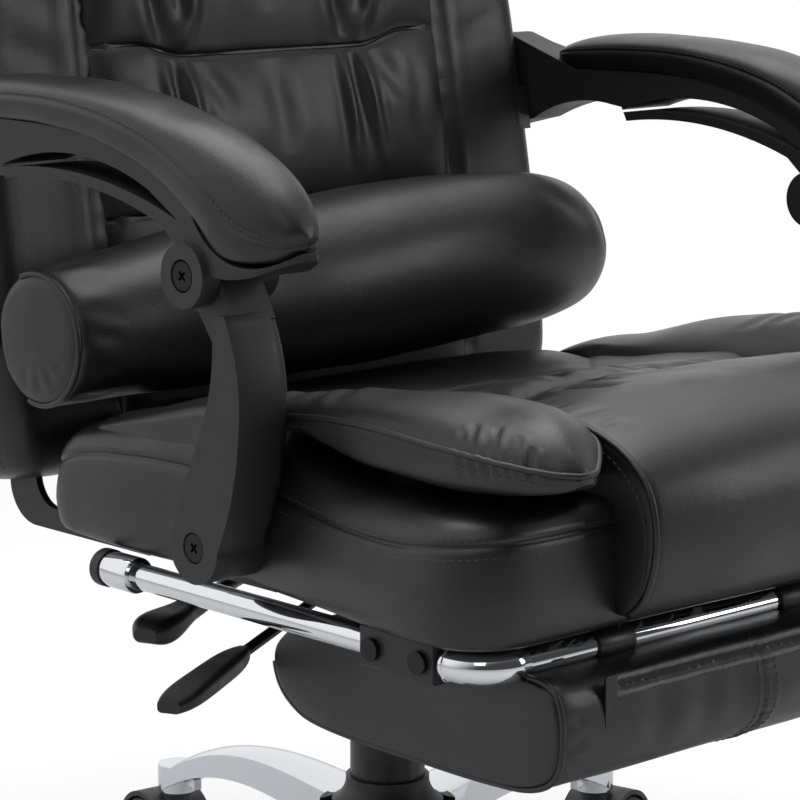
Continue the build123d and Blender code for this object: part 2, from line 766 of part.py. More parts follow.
def footrest_pad():
    """Leg pad, stored upside down under the seat: crowned, round at its rear."""
    sections = []
    top = rail_z + 2.5
    for x, inset in ((-1.0, 15.0), (-0.93, 5.0), (-0.55, 0.0), (0.0, -2.0), (0.55, 0.0), (0.93, 5.0), (1.0, 15.0)):
        rear = rest_rear - (3.0 * inset if inset > 0 else 0.0)
        front = rest_front + 0.5 * inset
        low = rest_low + 0.5 * inset
        face = outline(
            (front + 12, top - 0.4 * inset),
            ((front + 2, top - 6), (front, top - 22)),
            ((front - 1, low + 24), (front + 10, low + 2)),
            ((-260.0, low), (rear - 34, low + 5)),
            ((rear - 8, low + 18), (rear, top - 20)),
            ((rear, top - 12),),
            ((rear - 12, top - 8),),
        )
        sections.append(Plane.YZ.offset(x * rest_half) * face)
    pad = loft(sections)
    pad -= rest_board_box()
    pad -= rod_x(rail_r + 3.5, -rest_half - 5, rest_half + 5, bar_y, rail_z)
    return pad - block(-rest_half - 5, rest_half + 5, bar_y, 0, rail_z - 5, rail_z + 20)


def rest_board_box():
    half = rest_half - 26
    return block(-half, half, bar_y + 16, rest_rear - 34, rail_z - 5 - rest_board_t, rail_z - 5)


def footrest_board():
    """Plywood board inside the leg pad."""
    return rest_board_box()


def footrest_clips():
    """Pressed steel saddles that hang the leg pad on the crossbar."""
    outer = rail_r + 2.2
    pieces = []
    for x in (-0.68, 0.0, 0.68):
        middle = x * rest_half
        ring = rod_x(outer, middle - 14, middle + 14, bar_y, rail_z)
        foot = block(middle - 14, middle + 14, bar_y, bar_y + 52, rail_z - 5, rail_z - 2.8)
        ring = ring + foot - rod_x(rail_r + run_fit, middle - 20, middle + 20, bar_y, rail_z)
        pieces.append(ring)
    return group(pieces)


def zip_pull():
    """Slim pull tab of the zip in the front of the leg pad."""
    y = rest_front - 3.6
    tab = block(zip_x - 4.5, zip_x + 4.5, y, y + 1.6, zip_z - 26, zip_z + 3)
    return fillet(tab.edges().filter_by(Axis.Y), 1.5)



# ---------------------------------------------------------------- backrest
def back_section(z, w, front, crown):
    """Level section of the foam: crowned front, drawn-in sides, flat rear."""
    rear = back_depth + back_board_t
    face = outline(
        (-w + 12, rear),
        ((w - 12, rear),),
        ((w, (rear + front) / 2 + 6), (w - 26, front + 4)),
        ((0.0, front - crown), (-w + 26, front + 4)),
        ((-w, (rear + front) / 2 + 6), (-w + 12, rear)),
    )
    return Pos(0, 0, z) * face


def back_cushion():
    """Foam and side cover of the backrest."""
    h = back_h
    levels = (
        (0.0, 17.0, 15.0, 1.0),
        (14.0, 8.0, 4.0, 2.0),
        (90.0, 0.0, 0.0, 3.0),
        (230.0, 0.0, 0.0, 5.0),
        (h * 0.50, 9.0, 0.0, 6.0),
        (h * 0.72, 22.0, 0.0, 6.0),
        (h * 0.90, 48.0, 4.0, 5.0),
        (h * 0.97, 80.0, 12.0, 4.0),
        (h, 112.0, 26.0, 2.0),
    )
    body = loft([back_section(z, back_w - inset, front, crown) for z, inset, front, crown in levels])
    body -= board_blank()
    body -= block(-quilt_w, quilt_w, -40, quilt_back, 30, head_low)
    body -= block(-head_w, head_w, -40, quilt_back, head_low, head_high)
    body -= block(-300, 300, back_depth + back_board_t, 300, -50, h + 50)
    near = hinge_x - hinge_t - 9
    far = hinge_x + hinge_t + 9
    body -= both_sides(block(near, far, 20, back_depth + back_board_t + 5, -30, back_foot))
    body -= both_sides(block(near, far, 20, back_depth, back_foot - 1, 94))
    body = back_place * body - both_sides(anchor_block())
    return body - both_sides(rod_x(bolt_r, back_w - 40, back_w + 20, *arm_pivot))


def back_contour(low, inset):
    """Outline of the backrest seen from the rear, inset from the foam's edge."""
    w = back_w - inset
    h = back_h
    right = (
        (w, low), (w, h * 0.32), (w - 9, h * 0.5), (w - 22, h * 0.72),
        (w - 32, h * 0.82), (w - 48, h * 0.9), (w - 78, h * 0.965 - inset * 0.6), (w - 112, h - inset),
    )
    left = [(-x, z) for x, z in right]
    return outline(
        left[0],
        (right[0],),
        (right[1],),
        (right[2], right[3]),
        (right[4], right[5]),
        (right[6], right[7]),
        (left[7],),
        (left[6], left[5]),
        (left[4], left[3]),
        (left[2], left[1]),
    )


def anchor_block():
    """Envelope of the steel anchor behind the arm's rear bolt."""
    y, z = arm_pivot
    box = block(back_w - 22, back_w - 2, -15, 15, -15, 15)
    return Pos(0, y, z) * Rot(-back_lean, 0, 0) * box


def board_blank():
    """Plywood board in the back of the foam, before it is leaned back."""
    return extrude(Plane.XZ.offset(-back_depth) * back_contour(back_foot, 24.0), -back_board_t)


def back_board():
    """Plywood board behind the foam."""
    return back_place * board_blank()


def rear_panel():
    """Padded cover that closes the rear of the backrest."""
    y0 = back_depth + back_board_t
    sections = []
    for depth, inset in ((0.0, 7.0), (rear_skin * 0.6, 9.0), (rear_skin, 20.0)):
        sections.append(Plane.XZ.offset(-y0 - depth) * back_contour(5.0 + inset, inset))
    return back_place * loft(sections)


def quilt_block(z_low, z_high, w, seam_front, crown_front):
    """One swollen block between two seams of the quilted panel."""
    sections = []
    for share in (0.0, 0.25, 0.5, 0.75, 1.0):
        swell = math.sin(math.pi * share) ** 0.7 if 0 < share < 1 else 0.0
        front = seam_front + (crown_front - seam_front) * swell
        z = z_low + share * (z_high - z_low)
        face = outline(
            (-w, quilt_back),
            ((w, quilt_back),),
            ((w, quilt_back - 6),),
            ((0.0, front), (-w, quilt_back - 6)),
        )
        sections.append(Pos(0, 0, z) * face)
    return loft(sections)


def back_centre_panel():
    """Quilted panel: swollen blocks between level seams, flat behind the roll."""
    w = quilt_w - pad_gap
    panel = quilt_block(31, quilt_seam_low, w, 2.0, -1.0)
    panel += quilt_block(quilt_seam_low, quilt_seam_mid, w, 1.0, -16.0)
    panel += quilt_block(quilt_seam_mid, (quilt_seam_mid + quilt_seam_top) / 2, w, 1.0, -18.0)
    panel += quilt_block((quilt_seam_mid + quilt_seam_top) / 2, quilt_seam_top, w, 1.0, -18.0)
    return back_place * panel


def headrest_pillow():
    """Thick head pillow sewn in above the quilted panel."""
    return back_place * quilt_block(head_low + 1, head_high - 1, head_w - pad_gap, 0.0, -38.0)


# ---------------------------------------------------------------- recline hinge
def hinge_seat_ears():
    """Steel ears under the seat board that reach into the backrest, with their pins."""
    y, z = recline_axis
    r = hinge_lobe
    plate = outline(
        (seat_rear - 110, seat_low - 3),
        ((seat_rear - 70, seat_low - 14),),
        ((y - 14, seat_low - 14),),
        ((y + r - 8, seat_low - 6), (y + r, seat_low + 14)),
        ((y + r, z),),
        ((y, z + r), (y - r, z)),
        ((y - r, seat_low + 22),),
        ((y - r - 6, seat_low + 6), (y - r - 22, seat_low)),
        ((seat_rear - 110, seat_low),),
    )
    x1 = hinge_x
    ear = slab_x(plate, x1 - hinge_t, x1)
    ear += block(x1 - 28, x1, seat_rear - 110, seat_rear - 14, seat_low - 3, seat_low)
    ear -= rod_x(hinge_pin_r, x1 - hinge_t - 1, x1 + 1, y, z)
    pin = rod_x(hinge_pin_r, x1 - hinge_t - 3, x1 + 2 * hinge_t + 1, y, z)
    pin += rod_x(hinge_pin_r + 2.5, x1 - hinge_t - 3, x1 - hinge_t, y, z)
    return group([both_sides(ear), both_sides(pin)])


def hinge_back_ears():
    """Steel ears on the back board that turn on the pins, and the arm anchors."""
    y, z = recline_axis
    r = hinge_lobe
    t = math.radians(back_lean)
    board_y = back_y + back_depth * math.cos(t)
    board_z = back_z - back_depth * math.sin(t)

    def on_board(up):
        return (board_y + up * math.sin(t), board_z + up * math.cos(t))

    plate = outline(
        (y - r, z),
        ((y - r * 0.8, z + r * 0.6), (y, z + r)),
        (on_board(90.0),),
        (on_board(34.0),),
        ((y, z - r),),
        ((y - r * 0.8, z - r * 0.6), (y - r, z)),
    )
    x0 = hinge_x + pad_gap
    ear = slab_x(plate, x0, x0 + hinge_t)
    ear -= rod_x(hinge_pin_r + run_fit, x0 - 1, x0 + hinge_t + 1, y, z)
    anchor = anchor_block()
    anchor -= rod_x(bolt_r, back_w - 40, back_w + 20, *arm_pivot)
    return group([both_sides(ear), both_sides(anchor)])


def rear_bolts():
    """Shoulder bolts from the wings of the arms into the anchors."""
    y, z = arm_pivot
    wing_out = arm_x - arm_w / 2 + 25.6
    shank = rod_x(bolt_r, back_w - 20, wing_out + 1, y, z)
    head = rod_x(bolt_head_r, wing_out + 1, wing_out + 5, y, z)
    return both_sides(cross_slot(head, wing_out + 5, y, z) + shank)


# ---------------------------------------------------------------- lumbar roll
def roll_section(x, radius):
    """Round section of the roll, squared to the roll's axis."""
    k = math.sqrt(0.5) * radius
    swell = radius - roll_r_end
    y = roll_y - swell * 0.7
    z = roll_z + x * math.tan(math.radians(roll_tilt)) + swell * 0.7
    face = outline(
        (y + radius, z),
        ((y + k, z + k), (y, z + radius)),
        ((y - k, z + k), (y - radius, z)),
        ((y - k, z - k), (y, z - radius)),
        ((y + k, z - k), (y + radius, z)),
    )
    return Plane.YZ.offset(x) * face


def lumbar_roll():
    """Stuffed roll strapped to the backrest, fuller in the middle."""
    stations = (
        (-1.0, roll_r_end - 9), (-0.97, roll_r_end), (-0.7, roll_r_end + 6), (-0.3, roll_r_mid - 3),
        (0.05, roll_r_mid), (0.4, roll_r_mid - 3), (0.75, roll_r_end + 6), (0.97, roll_r_end),
        (1.0, roll_r_end - 9),
    )
    body = loft([roll_section(x * roll_half, radius) for x, radius in stations])
    return body - back_place * block(-300, 300, -6, 300, -100, 400)


def roll_strap():
    """Elastic band that goes from the roll round the back of the backrest."""
    z = (roll_z - back_z) / math.cos(math.radians(back_lean))
    rear = back_depth + back_board_t + rear_skin + 1.5
    half = back_w + 1.6
    outer = Pos(0, rear / 2 + 1, z) * Box(2 * half + 3, rear + 1, 38)
    inner = Pos(0, rear / 2 - 2, z) * Box(2 * half, rear + 4, 40)
    outer = fillet(outer.edges().filter_by(Axis.Z).sort_by(Axis.Y)[-2:], 8.0)
    inner = fillet(inner.edges().filter_by(Axis.Z).sort_by(Axis.Y)[-2:], 6.5)
    return back_place * (outer - inner)


# ---------------------------------------------------------------- write every piece
os.makedirs("parts", exist_ok=True)

save("five_star_base", five_star_base())
save("base_collar", base_collar())
save("caster_stems", caster_stems())
for number in range(leg_count):
    save(f"caster_hood_{number + 1}", caster_hood(number))
    save(f"caster_wheels_{number + 1}", caster_wheels(number))

save("gas_outer_tube", gas_outer_tube())
save("gas_guide_bush", gas_guide_bush())
save("gas_rod", gas_rod())
save("gas_cylinder", gas_cylinder())

save("mechanism_plate", mechanism_plate())
save("mechanism_housing", mechanism_housing())
save("seat_screws", seat_screws())
save("height_lever_rod", height_lever_rod())
save("height_lever_grip", height_lever_grip())
save("recline_lever", recline_lever())

save("seat_board", seat_board())
save("seat_base_cushion", seat_base_cushion())
save("seat_centre_panel", seat_centre_panel())
side_pad = seat_side_pad()
save("seat_side_pad_l", side_pad)
save("seat_side_pad_r", mirror(side_pad, about=Plane.YZ))

save("arm_brackets", arm_brackets())
save("link_bolts", link_bolts())
for name, make in (
    ("front_link", front_link),
    ("arm_beam", arm_beam),
    ("arm_pad", arm_pad),
    ("knuckle_bolt", knuckle_bolt),
    ("footrest_guide", footrest_guide),
):
    piece = make()
    save(f"{name}_l", piece)
    save(f"{name}_r", mirror(piece, about=Plane.YZ))

save("footrest_rails", footrest_rails())
save("footrest_crossbar", footrest_crossbar())
save("footrest_elbows", footrest_elbows())
save("rail_sleeves", rail_sleeves())
save("rail_caps", rail_caps())
save("footrest_pad", footrest_pad())
save("footrest_board", footrest_board())
save("footrest_clips", footrest_clips())
save("zip_pull", zip_pull())

save("back_cushion", back_cushion())
save("back_board", back_board())
save("rear_panel", rear_panel())
save("back_centre_panel", back_centre_panel())
save("headrest_pillow", headrest_pillow())
save("hinge_seat_ears", hinge_seat_ears())
save("hinge_back_ears", hinge_back_ears())
save("rear_bolts", rear_bolts())
save("lumbar_roll", lumbar_roll())
save("roll_strap", roll_strap())
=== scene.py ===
"""Black leather reclining office chair with a pull-out leg rest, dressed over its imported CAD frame."""
import math

import bmesh
import bpy
import numpy as np
from mathutils import Matrix, Vector
from mathutils.bvhtree import BVHTree


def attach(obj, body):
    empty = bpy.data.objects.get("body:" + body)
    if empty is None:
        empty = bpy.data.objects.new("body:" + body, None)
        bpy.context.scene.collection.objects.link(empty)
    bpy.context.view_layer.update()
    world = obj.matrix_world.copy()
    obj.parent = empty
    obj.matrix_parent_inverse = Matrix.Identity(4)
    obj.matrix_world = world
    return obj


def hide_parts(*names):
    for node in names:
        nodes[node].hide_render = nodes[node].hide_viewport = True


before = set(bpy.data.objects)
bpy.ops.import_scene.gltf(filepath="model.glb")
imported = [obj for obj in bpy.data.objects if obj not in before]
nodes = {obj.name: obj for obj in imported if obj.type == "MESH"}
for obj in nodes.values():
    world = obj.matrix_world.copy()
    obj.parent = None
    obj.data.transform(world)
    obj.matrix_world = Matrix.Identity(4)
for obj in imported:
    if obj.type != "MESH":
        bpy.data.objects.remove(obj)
scene = bpy.context.scene
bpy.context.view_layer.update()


# ------------------------ studio
# White infinity cove with a large soft box over the seat, one at the front right that models the
# back and the roll, and a weak one by the camera. Beyond the chair's shadow all is plain white.
def srgb(code):
    """Linear colour of an sRGB hex value."""
    parts = [int(code[i:i + 2], 16) / 255 for i in (1, 3, 5)]
    return [*(c / 12.92 if c <= 0.04045 else ((c + 0.055) / 1.055) ** 2.4 for c in parts), 1.0]


def add(tree, kind, inputs=(), **settings):
    """A node with its settings; an input is given a value or linked to a socket."""
    made = tree.nodes.new(kind)
    for key, value in settings.items():
        setattr(made, key, value)
    for key, value in dict(inputs).items():
        if isinstance(value, bpy.types.NodeSocket):
            tree.links.new(value, made.inputs[key])
        else:
            made.inputs[key].default_value = value
    return made


def soft_box(name, place, aim, size, power):
    """A square studio light turned to a point."""
    lamp = bpy.data.lights.new(name, "AREA")
    lamp.shape = "SQUARE"
    lamp.size = size
    lamp.energy = power
    box = bpy.data.objects.new(name, lamp)
    box.location = place
    box.rotation_euler = (Vector(aim) - Vector(place)).to_track_quat("-Z", "Y").to_euler()
    scene.collection.objects.link(box)


lens = bpy.data.cameras.new("camera")
lens.lens = 144.25
lens.sensor_width = 36.0
lens.clip_end = 100.0
camera = bpy.data.objects.new("camera", lens)
camera.location = (-1.3924, -1.5280, 0.7660)
look = (Vector((-0.0247, -0.0390, 0.3963)) - camera.location).to_track_quat("-Z", "Y")
camera.rotation_euler = (look.to_matrix() @ Matrix.Rotation(math.radians(0.04), 3, "Z")).to_euler()
scene.collection.objects.link(camera)
scene.camera = camera
scene.view_settings.view_transform = "Standard"

soft_box("overhead", (0.1, 0.2, 2.4), (0.0, -0.1, 0.4), 2.0, 32)
soft_box("front_left", (-2.0, -1.6, 2.0), (0.0, 0.0, 0.4), 1.0, 5)
soft_box("front_right", (1.9, -2.1, 1.35), (0.0, 0.0, 0.55), 1.2, 17)

# The cove is white to the lens. What it sends on to the chair fades from the lit back wall
# to the dim side where the camera stands.
sky = bpy.data.worlds.new("sky")
sky.use_nodes = True
scene.world = sky
tree = sky.node_tree
tree.nodes.clear()
way = add(tree, "ShaderNodeTexCoord").outputs["Generated"]
toward = add(tree, "ShaderNodeVectorMath", {0: way, 1: (-0.05, 0.80, 0.60)}, operation="DOT_PRODUCT")
lit = add(tree, "ShaderNodeMapRange", {"Value": toward.outputs["Value"], "From Min": -0.35, "From Max": 0.75,
                                       "To Min": 0.06, "To Max": 1.0}, interpolation_type="SMOOTHSTEP")
rays = add(tree, "ShaderNodeLightPath")
level = add(tree, "ShaderNodeMath", {0: lit.outputs["Result"], 1: rays.outputs["Is Camera Ray"]}, operation="MAXIMUM")
white = add(tree, "ShaderNodeBackground", {"Color": srgb("#ffffff"), "Strength": level.outputs[0]})
add(tree, "ShaderNodeOutputWorld", {"Surface": white.outputs[0]})

# Painted floor, matt white to the lens, running out into the white of the cove. It throws less
# light back on to the chair than it shows.
cove = bpy.data.materials.new("matt_white_paint")
cove.use_nodes = True
tree = cove.node_tree
paint = tree.nodes["Principled BSDF"]
paint.inputs["Roughness"].default_value = 0.85
paint.inputs["Specular IOR Level"].default_value = 0.2
lens_ray = add(tree, "ShaderNodeLightPath").outputs["Is Camera Ray"]
tint = add(tree, "ShaderNodeMix", {"Factor": lens_ray, "A": srgb("#cfcfd1"), "B": srgb("#f7f7f7")}, data_type="RGBA")
tree.links.new(tint.outputs["Result"], paint.inputs["Base Color"])
place = add(tree, "ShaderNodeTexCoord").outputs["Object"]
far = add(tree, "ShaderNodeVectorMath", {0: place}, operation="LENGTH")
edge = add(tree, "ShaderNodeMapRange", {"Value": far.outputs["Value"], "From Min": 0.8, "From Max": 2.4},
           interpolation_type="SMOOTHSTEP")
glow = add(tree, "ShaderNodeEmission", {"Color": srgb("#ffffff"), "Strength": 1.0})
share = add(tree, "ShaderNodeMath", {0: edge.outputs["Result"], 1: lens_ray}, operation="MULTIPLY")
blend = add(tree, "ShaderNodeMixShader", {0: share.outputs[0], 1: paint.outputs[0], 2: glow.outputs[0]})
tree.links.new(blend.outputs[0], tree.nodes["Material Output"].inputs["Surface"])
FLOOR_HALF = 30  # metres
floor = bpy.data.meshes.new("floor")
corners = [(x * FLOOR_HALF, y * FLOOR_HALF, 0) for x, y in ((-1, -1), (1, -1), (1, 1), (-1, 1))]
floor.from_pydata(corners, [], [(0, 1, 2, 3)])
floor.materials.append(cove)
ground = bpy.data.objects.new("floor", floor)
scene.collection.objects.link(ground)


# ------------------------ star base and column
# Five arched legs cast in aluminium and polished bright, with a black plastic bell on the hub.
# The gas spring's outer tube is pressed into the hub; its chromed cylinder carries the seat.
def finish(name, colour, roughness, metallic=0.0, **sockets):
    """A new material: its tree, its shader and the coordinates of its patterns."""
    made = bpy.data.materials.new(name)
    made.use_nodes = True
    made.diffuse_color = srgb(colour)
    shader = made.node_tree.nodes["Principled BSDF"]
    shader.inputs["Base Color"].default_value = srgb(colour)
    shader.inputs["Roughness"].default_value = roughness
    shader.inputs["Metallic"].default_value = metallic
    for key, value in sockets.items():
        shader.inputs[key.replace("_", " ")].default_value = value
    return made, made.node_tree, shader, add(made.node_tree, "ShaderNodeTexCoord").outputs["Object"]


def vary(tree, shader, place, size_mm, low, high, detail=3.0):
    """Roughness that wanders between two values over patches of that size."""
    patch = add(tree, "ShaderNodeTexNoise", {"Vector": place, "Scale": 1000 / size_mm, "Detail": detail})
    spread = add(tree, "ShaderNodeMapRange", {"Value": patch.outputs["Fac"], "From Min": 0.3, "From Max": 0.7,
                                              "To Min": low, "To Max": high})
    tree.links.new(spread.outputs["Result"], shader.inputs["Roughness"])


def emboss(tree, shader, height, depth_mm, strength):
    """Raises the surface by a pattern of that depth."""
    bump = add(tree, "ShaderNodeBump", {"Height": height, "Distance": depth_mm / 1000, "Strength": strength})
    tree.links.new(bump.outputs["Normal"], shader.inputs["Normal"])


def speckle(tree, place, size_mm):
    """Fine unevenness in spots of that size."""
    return add(tree, "ShaderNodeTexNoise", {"Vector": place, "Scale": 1000 / size_mm, "Detail": 2.0}).outputs["Fac"]


def plain(name, colour, roughness, patch_mm, low, high, metallic=0.0, grain=None):
    """A material that varies only in gloss, from low to high roughness, and in a grain: its size,
    depth and strength."""
    made, tree, shader, place = finish(name, colour, roughness, metallic)
    vary(tree, shader, place, patch_mm, low, high)
    if grain:
        size_mm, depth_mm, strength = grain
        emboss(tree, shader, speckle(tree, place, size_mm), depth_mm, strength)
    return made


def dress(names, material, edge_mm=0.5):
    """Gives CAD nodes their finish and breaks their sharp edges."""
    for name in names.split():
        piece = nodes[name]
        piece.data.materials.clear()
        piece.data.materials.append(material)
        weld = piece.modifiers.new("weld", "WELD")
        weld.merge_threshold = 0.00001
        if edge_mm:
            bevel = piece.modifiers.new("broken_edges", "BEVEL")
            bevel.width = edge_mm / 1000
            bevel.segments = 2
            bevel.limit_method = "ANGLE"
            bevel.angle_limit = math.radians(38)


# Die-cast aluminium, polished and lacquered: mirror bright with a faint orange peel.
polished = plain("polished_cast_aluminium", "#dcdee2", 0.12, 60, 0.09, 0.17, 1.0, (9, 0.15, 0.25))
dress("five_star_base", polished, 0.8)

# Glass-filled nylon, moulded black with a fine spark-eroded grain: dull, slightly greyed.
nylon = plain("moulded_black_nylon", "#232325", 0.5, 18, 0.42, 0.58, grain=(0.9, 0.06, 0.5))
dress("base_collar " + " ".join(f"caster_hood_{k}" for k in range(1, 6)), nylon, 0.7)

# Wheel treads are a softer polyamide, scuffed to a lighter grey where they roll.
tread = plain("rolled_polyamide", "#2c2c2e", 0.55, 7, 0.45, 0.7, grain=(1.6, 0.08, 0.4))
dress(" ".join(f"caster_wheels_{k}" for k in range(1, 6)), tread, 0.8)

# Chromium plate on steel tube: near mirror, with the slightest polishing haze.
chrome = plain("chromium_plate", "#e4e6e9", 0.05, 40, 0.035, 0.075, 1.0)
dress("gas_cylinder gas_rod", chrome, 0.3)

# Powder coat, black and satin, with a fine orange peel.
coated = plain("black_powder_coat", "#161617", 0.38, 25, 0.33, 0.45, grain=(1.4, 0.05, 0.5))
dress("gas_outer_tube mechanism_plate mechanism_housing arm_brackets", coated, 0.5)
dress("hinge_seat_ears hinge_back_ears footrest_clips", coated, 0.3)

# Zinc-plated steel with the grey-blue cast of passivation.
zinc = plain("zinc_plated_steel", "#a9adb2", 0.32, 4, 0.26, 0.42, 1.0)
dress("caster_stems", zinc, 0.3)

# Guide bush in the mouth of the column, turned from black acetal: waxy and even.
acetal = plain("black_acetal", "#1a1a1b", 0.34, 10, 0.3, 0.4)
dress("gas_guide_bush", acetal, 0.3)

# ------------------------ mechanism, screws and levers
# Pressed plate and tilt box bolted under the seat, a flat grip on a steel rod that lets the gas
# spring go, and a moulded recline lever. Both levers turn on barrels in the tilt box.

# Black-oxide screws and rod: dark steel, oiled.
oxide = plain("black_oxide_steel", "#2b2b2c", 0.3, 3, 0.22, 0.36, 0.8)
dress("seat_screws link_bolts knuckle_bolt_l knuckle_bolt_r rear_bolts", oxide, 0.5)
dress("height_lever_rod", oxide, 0.3)

# Polypropylene lever grips, satin black with mould grain.
grip = plain("satin_polypropylene", "#18181a", 0.44, 14, 0.36, 0.52, grain=(0.8, 0.05, 0.4))
dress("height_lever_grip recline_lever", grip, 1.5)

# ------------------------ plywood
# Seven-ply birch boards that the seat, leg pad and back are built on, stained black. The covers
# are stapled round them, so only an edge shows.
plies, tree, shader, place = finish("black_stained_plywood", "#1b1917", 0.6)
grain = add(tree, "ShaderNodeMapping", {"Vector": place, "Scale": (6.0, 60.0, 60.0)})
rings = add(tree, "ShaderNodeTexNoise", {"Vector": grain.outputs[0], "Scale": 3.0, "Detail": 4.0})
tone = add(tree, "ShaderNodeValToRGB", {"Fac": rings.outputs["Fac"]})
tone.color_ramp.elements[0].position = 0.35
tone.color_ramp.elements[0].color = srgb("#141211")
tone.color_ramp.elements[1].position = 0.68
tone.color_ramp.elements[1].color = srgb("#221f1c")
tree.links.new(tone.outputs["Color"], shader.inputs["Base Color"])
emboss(tree, shader, rings.outputs["Fac"], 0.1, 0.3)
dress("seat_board footrest_board back_board", plies, 0)


# ------------------------ seat base cushion
# High-density foam on the board in a boxed leather cover: a plain side, a twin-stitched seam
# near the top and a rounded shoulder that rises behind the arm links.
def through(points, count, closed=False):
    """Points evenly spaced on a smooth line through the given ones."""
    p = np.asarray(points, float)
    q = np.vstack([p[-1], p, p[:2]]) if closed else np.vstack([2 * p[0] - p[1], p, 2 * p[-1] - p[-2]])
    t = np.linspace(0, 1, 16, endpoint=False)[:, None]
    runs = []
    for a, b, c, d in zip(q, q[1:], q[2:], q[3:]):
        runs.append(0.5 * (2 * b + (c - a) * t + (2 * a - 5 * b + 4 * c - d) * t**2 + (3 * b - a - 3 * c + d) * t**3))
    fine = np.vstack([*runs, q[-2]])
    along = np.r_[0, np.cumsum(np.linalg.norm(np.diff(fine, axis=0), axis=1))]
    at = np.linspace(0, along[-1], count, endpoint=not closed)
    return np.stack([np.interp(at, along, fine[:, k]) for k in range(p.shape[1])], 1)


def ease(at, *knots):
    """A smooth run of values through (place, value) pairs."""
    k = np.array(sorted(knots), float)
    slope = np.gradient(k[:, 1], k[:, 0])
    i = np.clip(np.searchsorted(k[:, 0], at) - 1, 0, len(k) - 2)
    run = k[i + 1, 0] - k[i, 0]
    t = np.clip((at - k[i, 0]) / run, 0, 1)
    a, b = k[i, 1], k[i + 1, 1]
    return (2 * t**3 - 3 * t**2 + 1) * a + (3 * t**2 - 2 * t**3) * b + run * (
        (t**3 - 2 * t**2 + t) * slope[i] + (t**3 - t**2) * slope[i + 1])


def between(rows, cols):
    """Faces that join each ring of points to the next."""
    r, c = np.meshgrid(np.arange(rows - 1) * cols, np.arange(cols), indexing="ij")
    n = (c + 1) % cols
    return np.stack([r + c, r + n, r + cols + n, r + cols + c], -1).reshape(-1, 4).tolist()


def skin(name, rings):
    """A closed cover through rings of points in mm, shut at the middle of its first and last."""
    rings = np.asarray(rings, float) / 1000
    rows, cols = rings.shape[:2]
    points = np.vstack([rings.reshape(-1, 3), rings[0].mean(0), rings[-1].mean(0)])
    last = (rows - 1) * cols
    fans = [(rows * cols, (k + 1) % cols, k) for k in range(cols)]
    fans += [(rows * cols + 1, last + k, last + (k + 1) % cols) for k in range(cols)]
    mesh = bpy.data.meshes.new(name)
    mesh.from_pydata(points.tolist(), [], between(rows, cols) + fans)
    return settle(name, mesh)


def settle(name, mesh, parts=()):
    """An object of merged, outward-facing, smooth faces."""
    work = bmesh.new()
    for one in (mesh, *parts):
        work.from_mesh(one)
    bmesh.ops.remove_doubles(work, verts=work.verts, dist=0.00002)
    bmesh.ops.recalc_face_normals(work, faces=work.faces)
    work.to_mesh(mesh)
    work.free()
    mesh.shade_smooth()
    piece = bpy.data.objects.new(name, mesh)
    scene.collection.objects.link(piece)
    return piece


def points_of(piece):
    """Vertices in mm and their normals."""
    count = len(piece.data.vertices)
    co, out = np.empty(count * 3), np.empty(count * 3)
    piece.data.vertices.foreach_get("co", co)
    piece.data.vertices.foreach_get("normal", out)
    return co.reshape(-1, 3) * 1000, out.reshape(-1, 3)


def move_to(piece, co):
    """Sets the vertices, in mm."""
    piece.data.vertices.foreach_set("co", (co / 1000).ravel())
    piece.data.update()


FOLD_POINTS = 60  # along one fold
SETTLE_STEPS = 20  # frames that a cover takes to come to rest over its padding


def fold(piece, lines, width, depth, ridge=0.35, taper=0.3):
    """Presses lines into a cover: a valley along each, a low ridge at both sides, shallower
    towards the ends. A negative depth raises a ridge between two valleys."""
    co, out = points_of(piece)
    for line in lines:
        path = through(line, FOLD_POINTS)
        near = np.nonzero(((co > path.min(0) - 4 * width) & (co < path.max(0) + 4 * width)).all(1))[0]
        if not len(near):
            continue
        away = np.linalg.norm(co[near, None] - path[None], axis=2)
        spot = away.argmin(1)
        gap = away[np.arange(len(near)), spot] / width
        t = spot / (FOLD_POINTS - 1)
        end = np.clip(np.minimum(t, 1 - t) / taper, 0, 1) if taper else np.ones(len(t))
        press = (np.exp(-gap**2) - ridge * np.exp(-(gap - 1.9)**2)) * end * (2 - end)
        co[near] -= out[near] * (depth * press)[:, None]
    move_to(piece, co)


def ripple(piece, size, depth, seed):
    """Soft unevenness of stuffing under a cover, from a few crossing waves of about that size."""
    co, out = points_of(piece)
    rng = np.random.default_rng(seed)
    rise = np.zeros(len(co))
    for _ in range(9):
        way = rng.normal(size=3)
        way *= 2 * math.pi / (size * rng.uniform(0.7, 1.6)) / np.linalg.norm(way)
        rise += np.sin(co @ way + rng.uniform(0, 2 * math.pi))
    move_to(piece, co + out * (depth * rise / 3)[:, None])


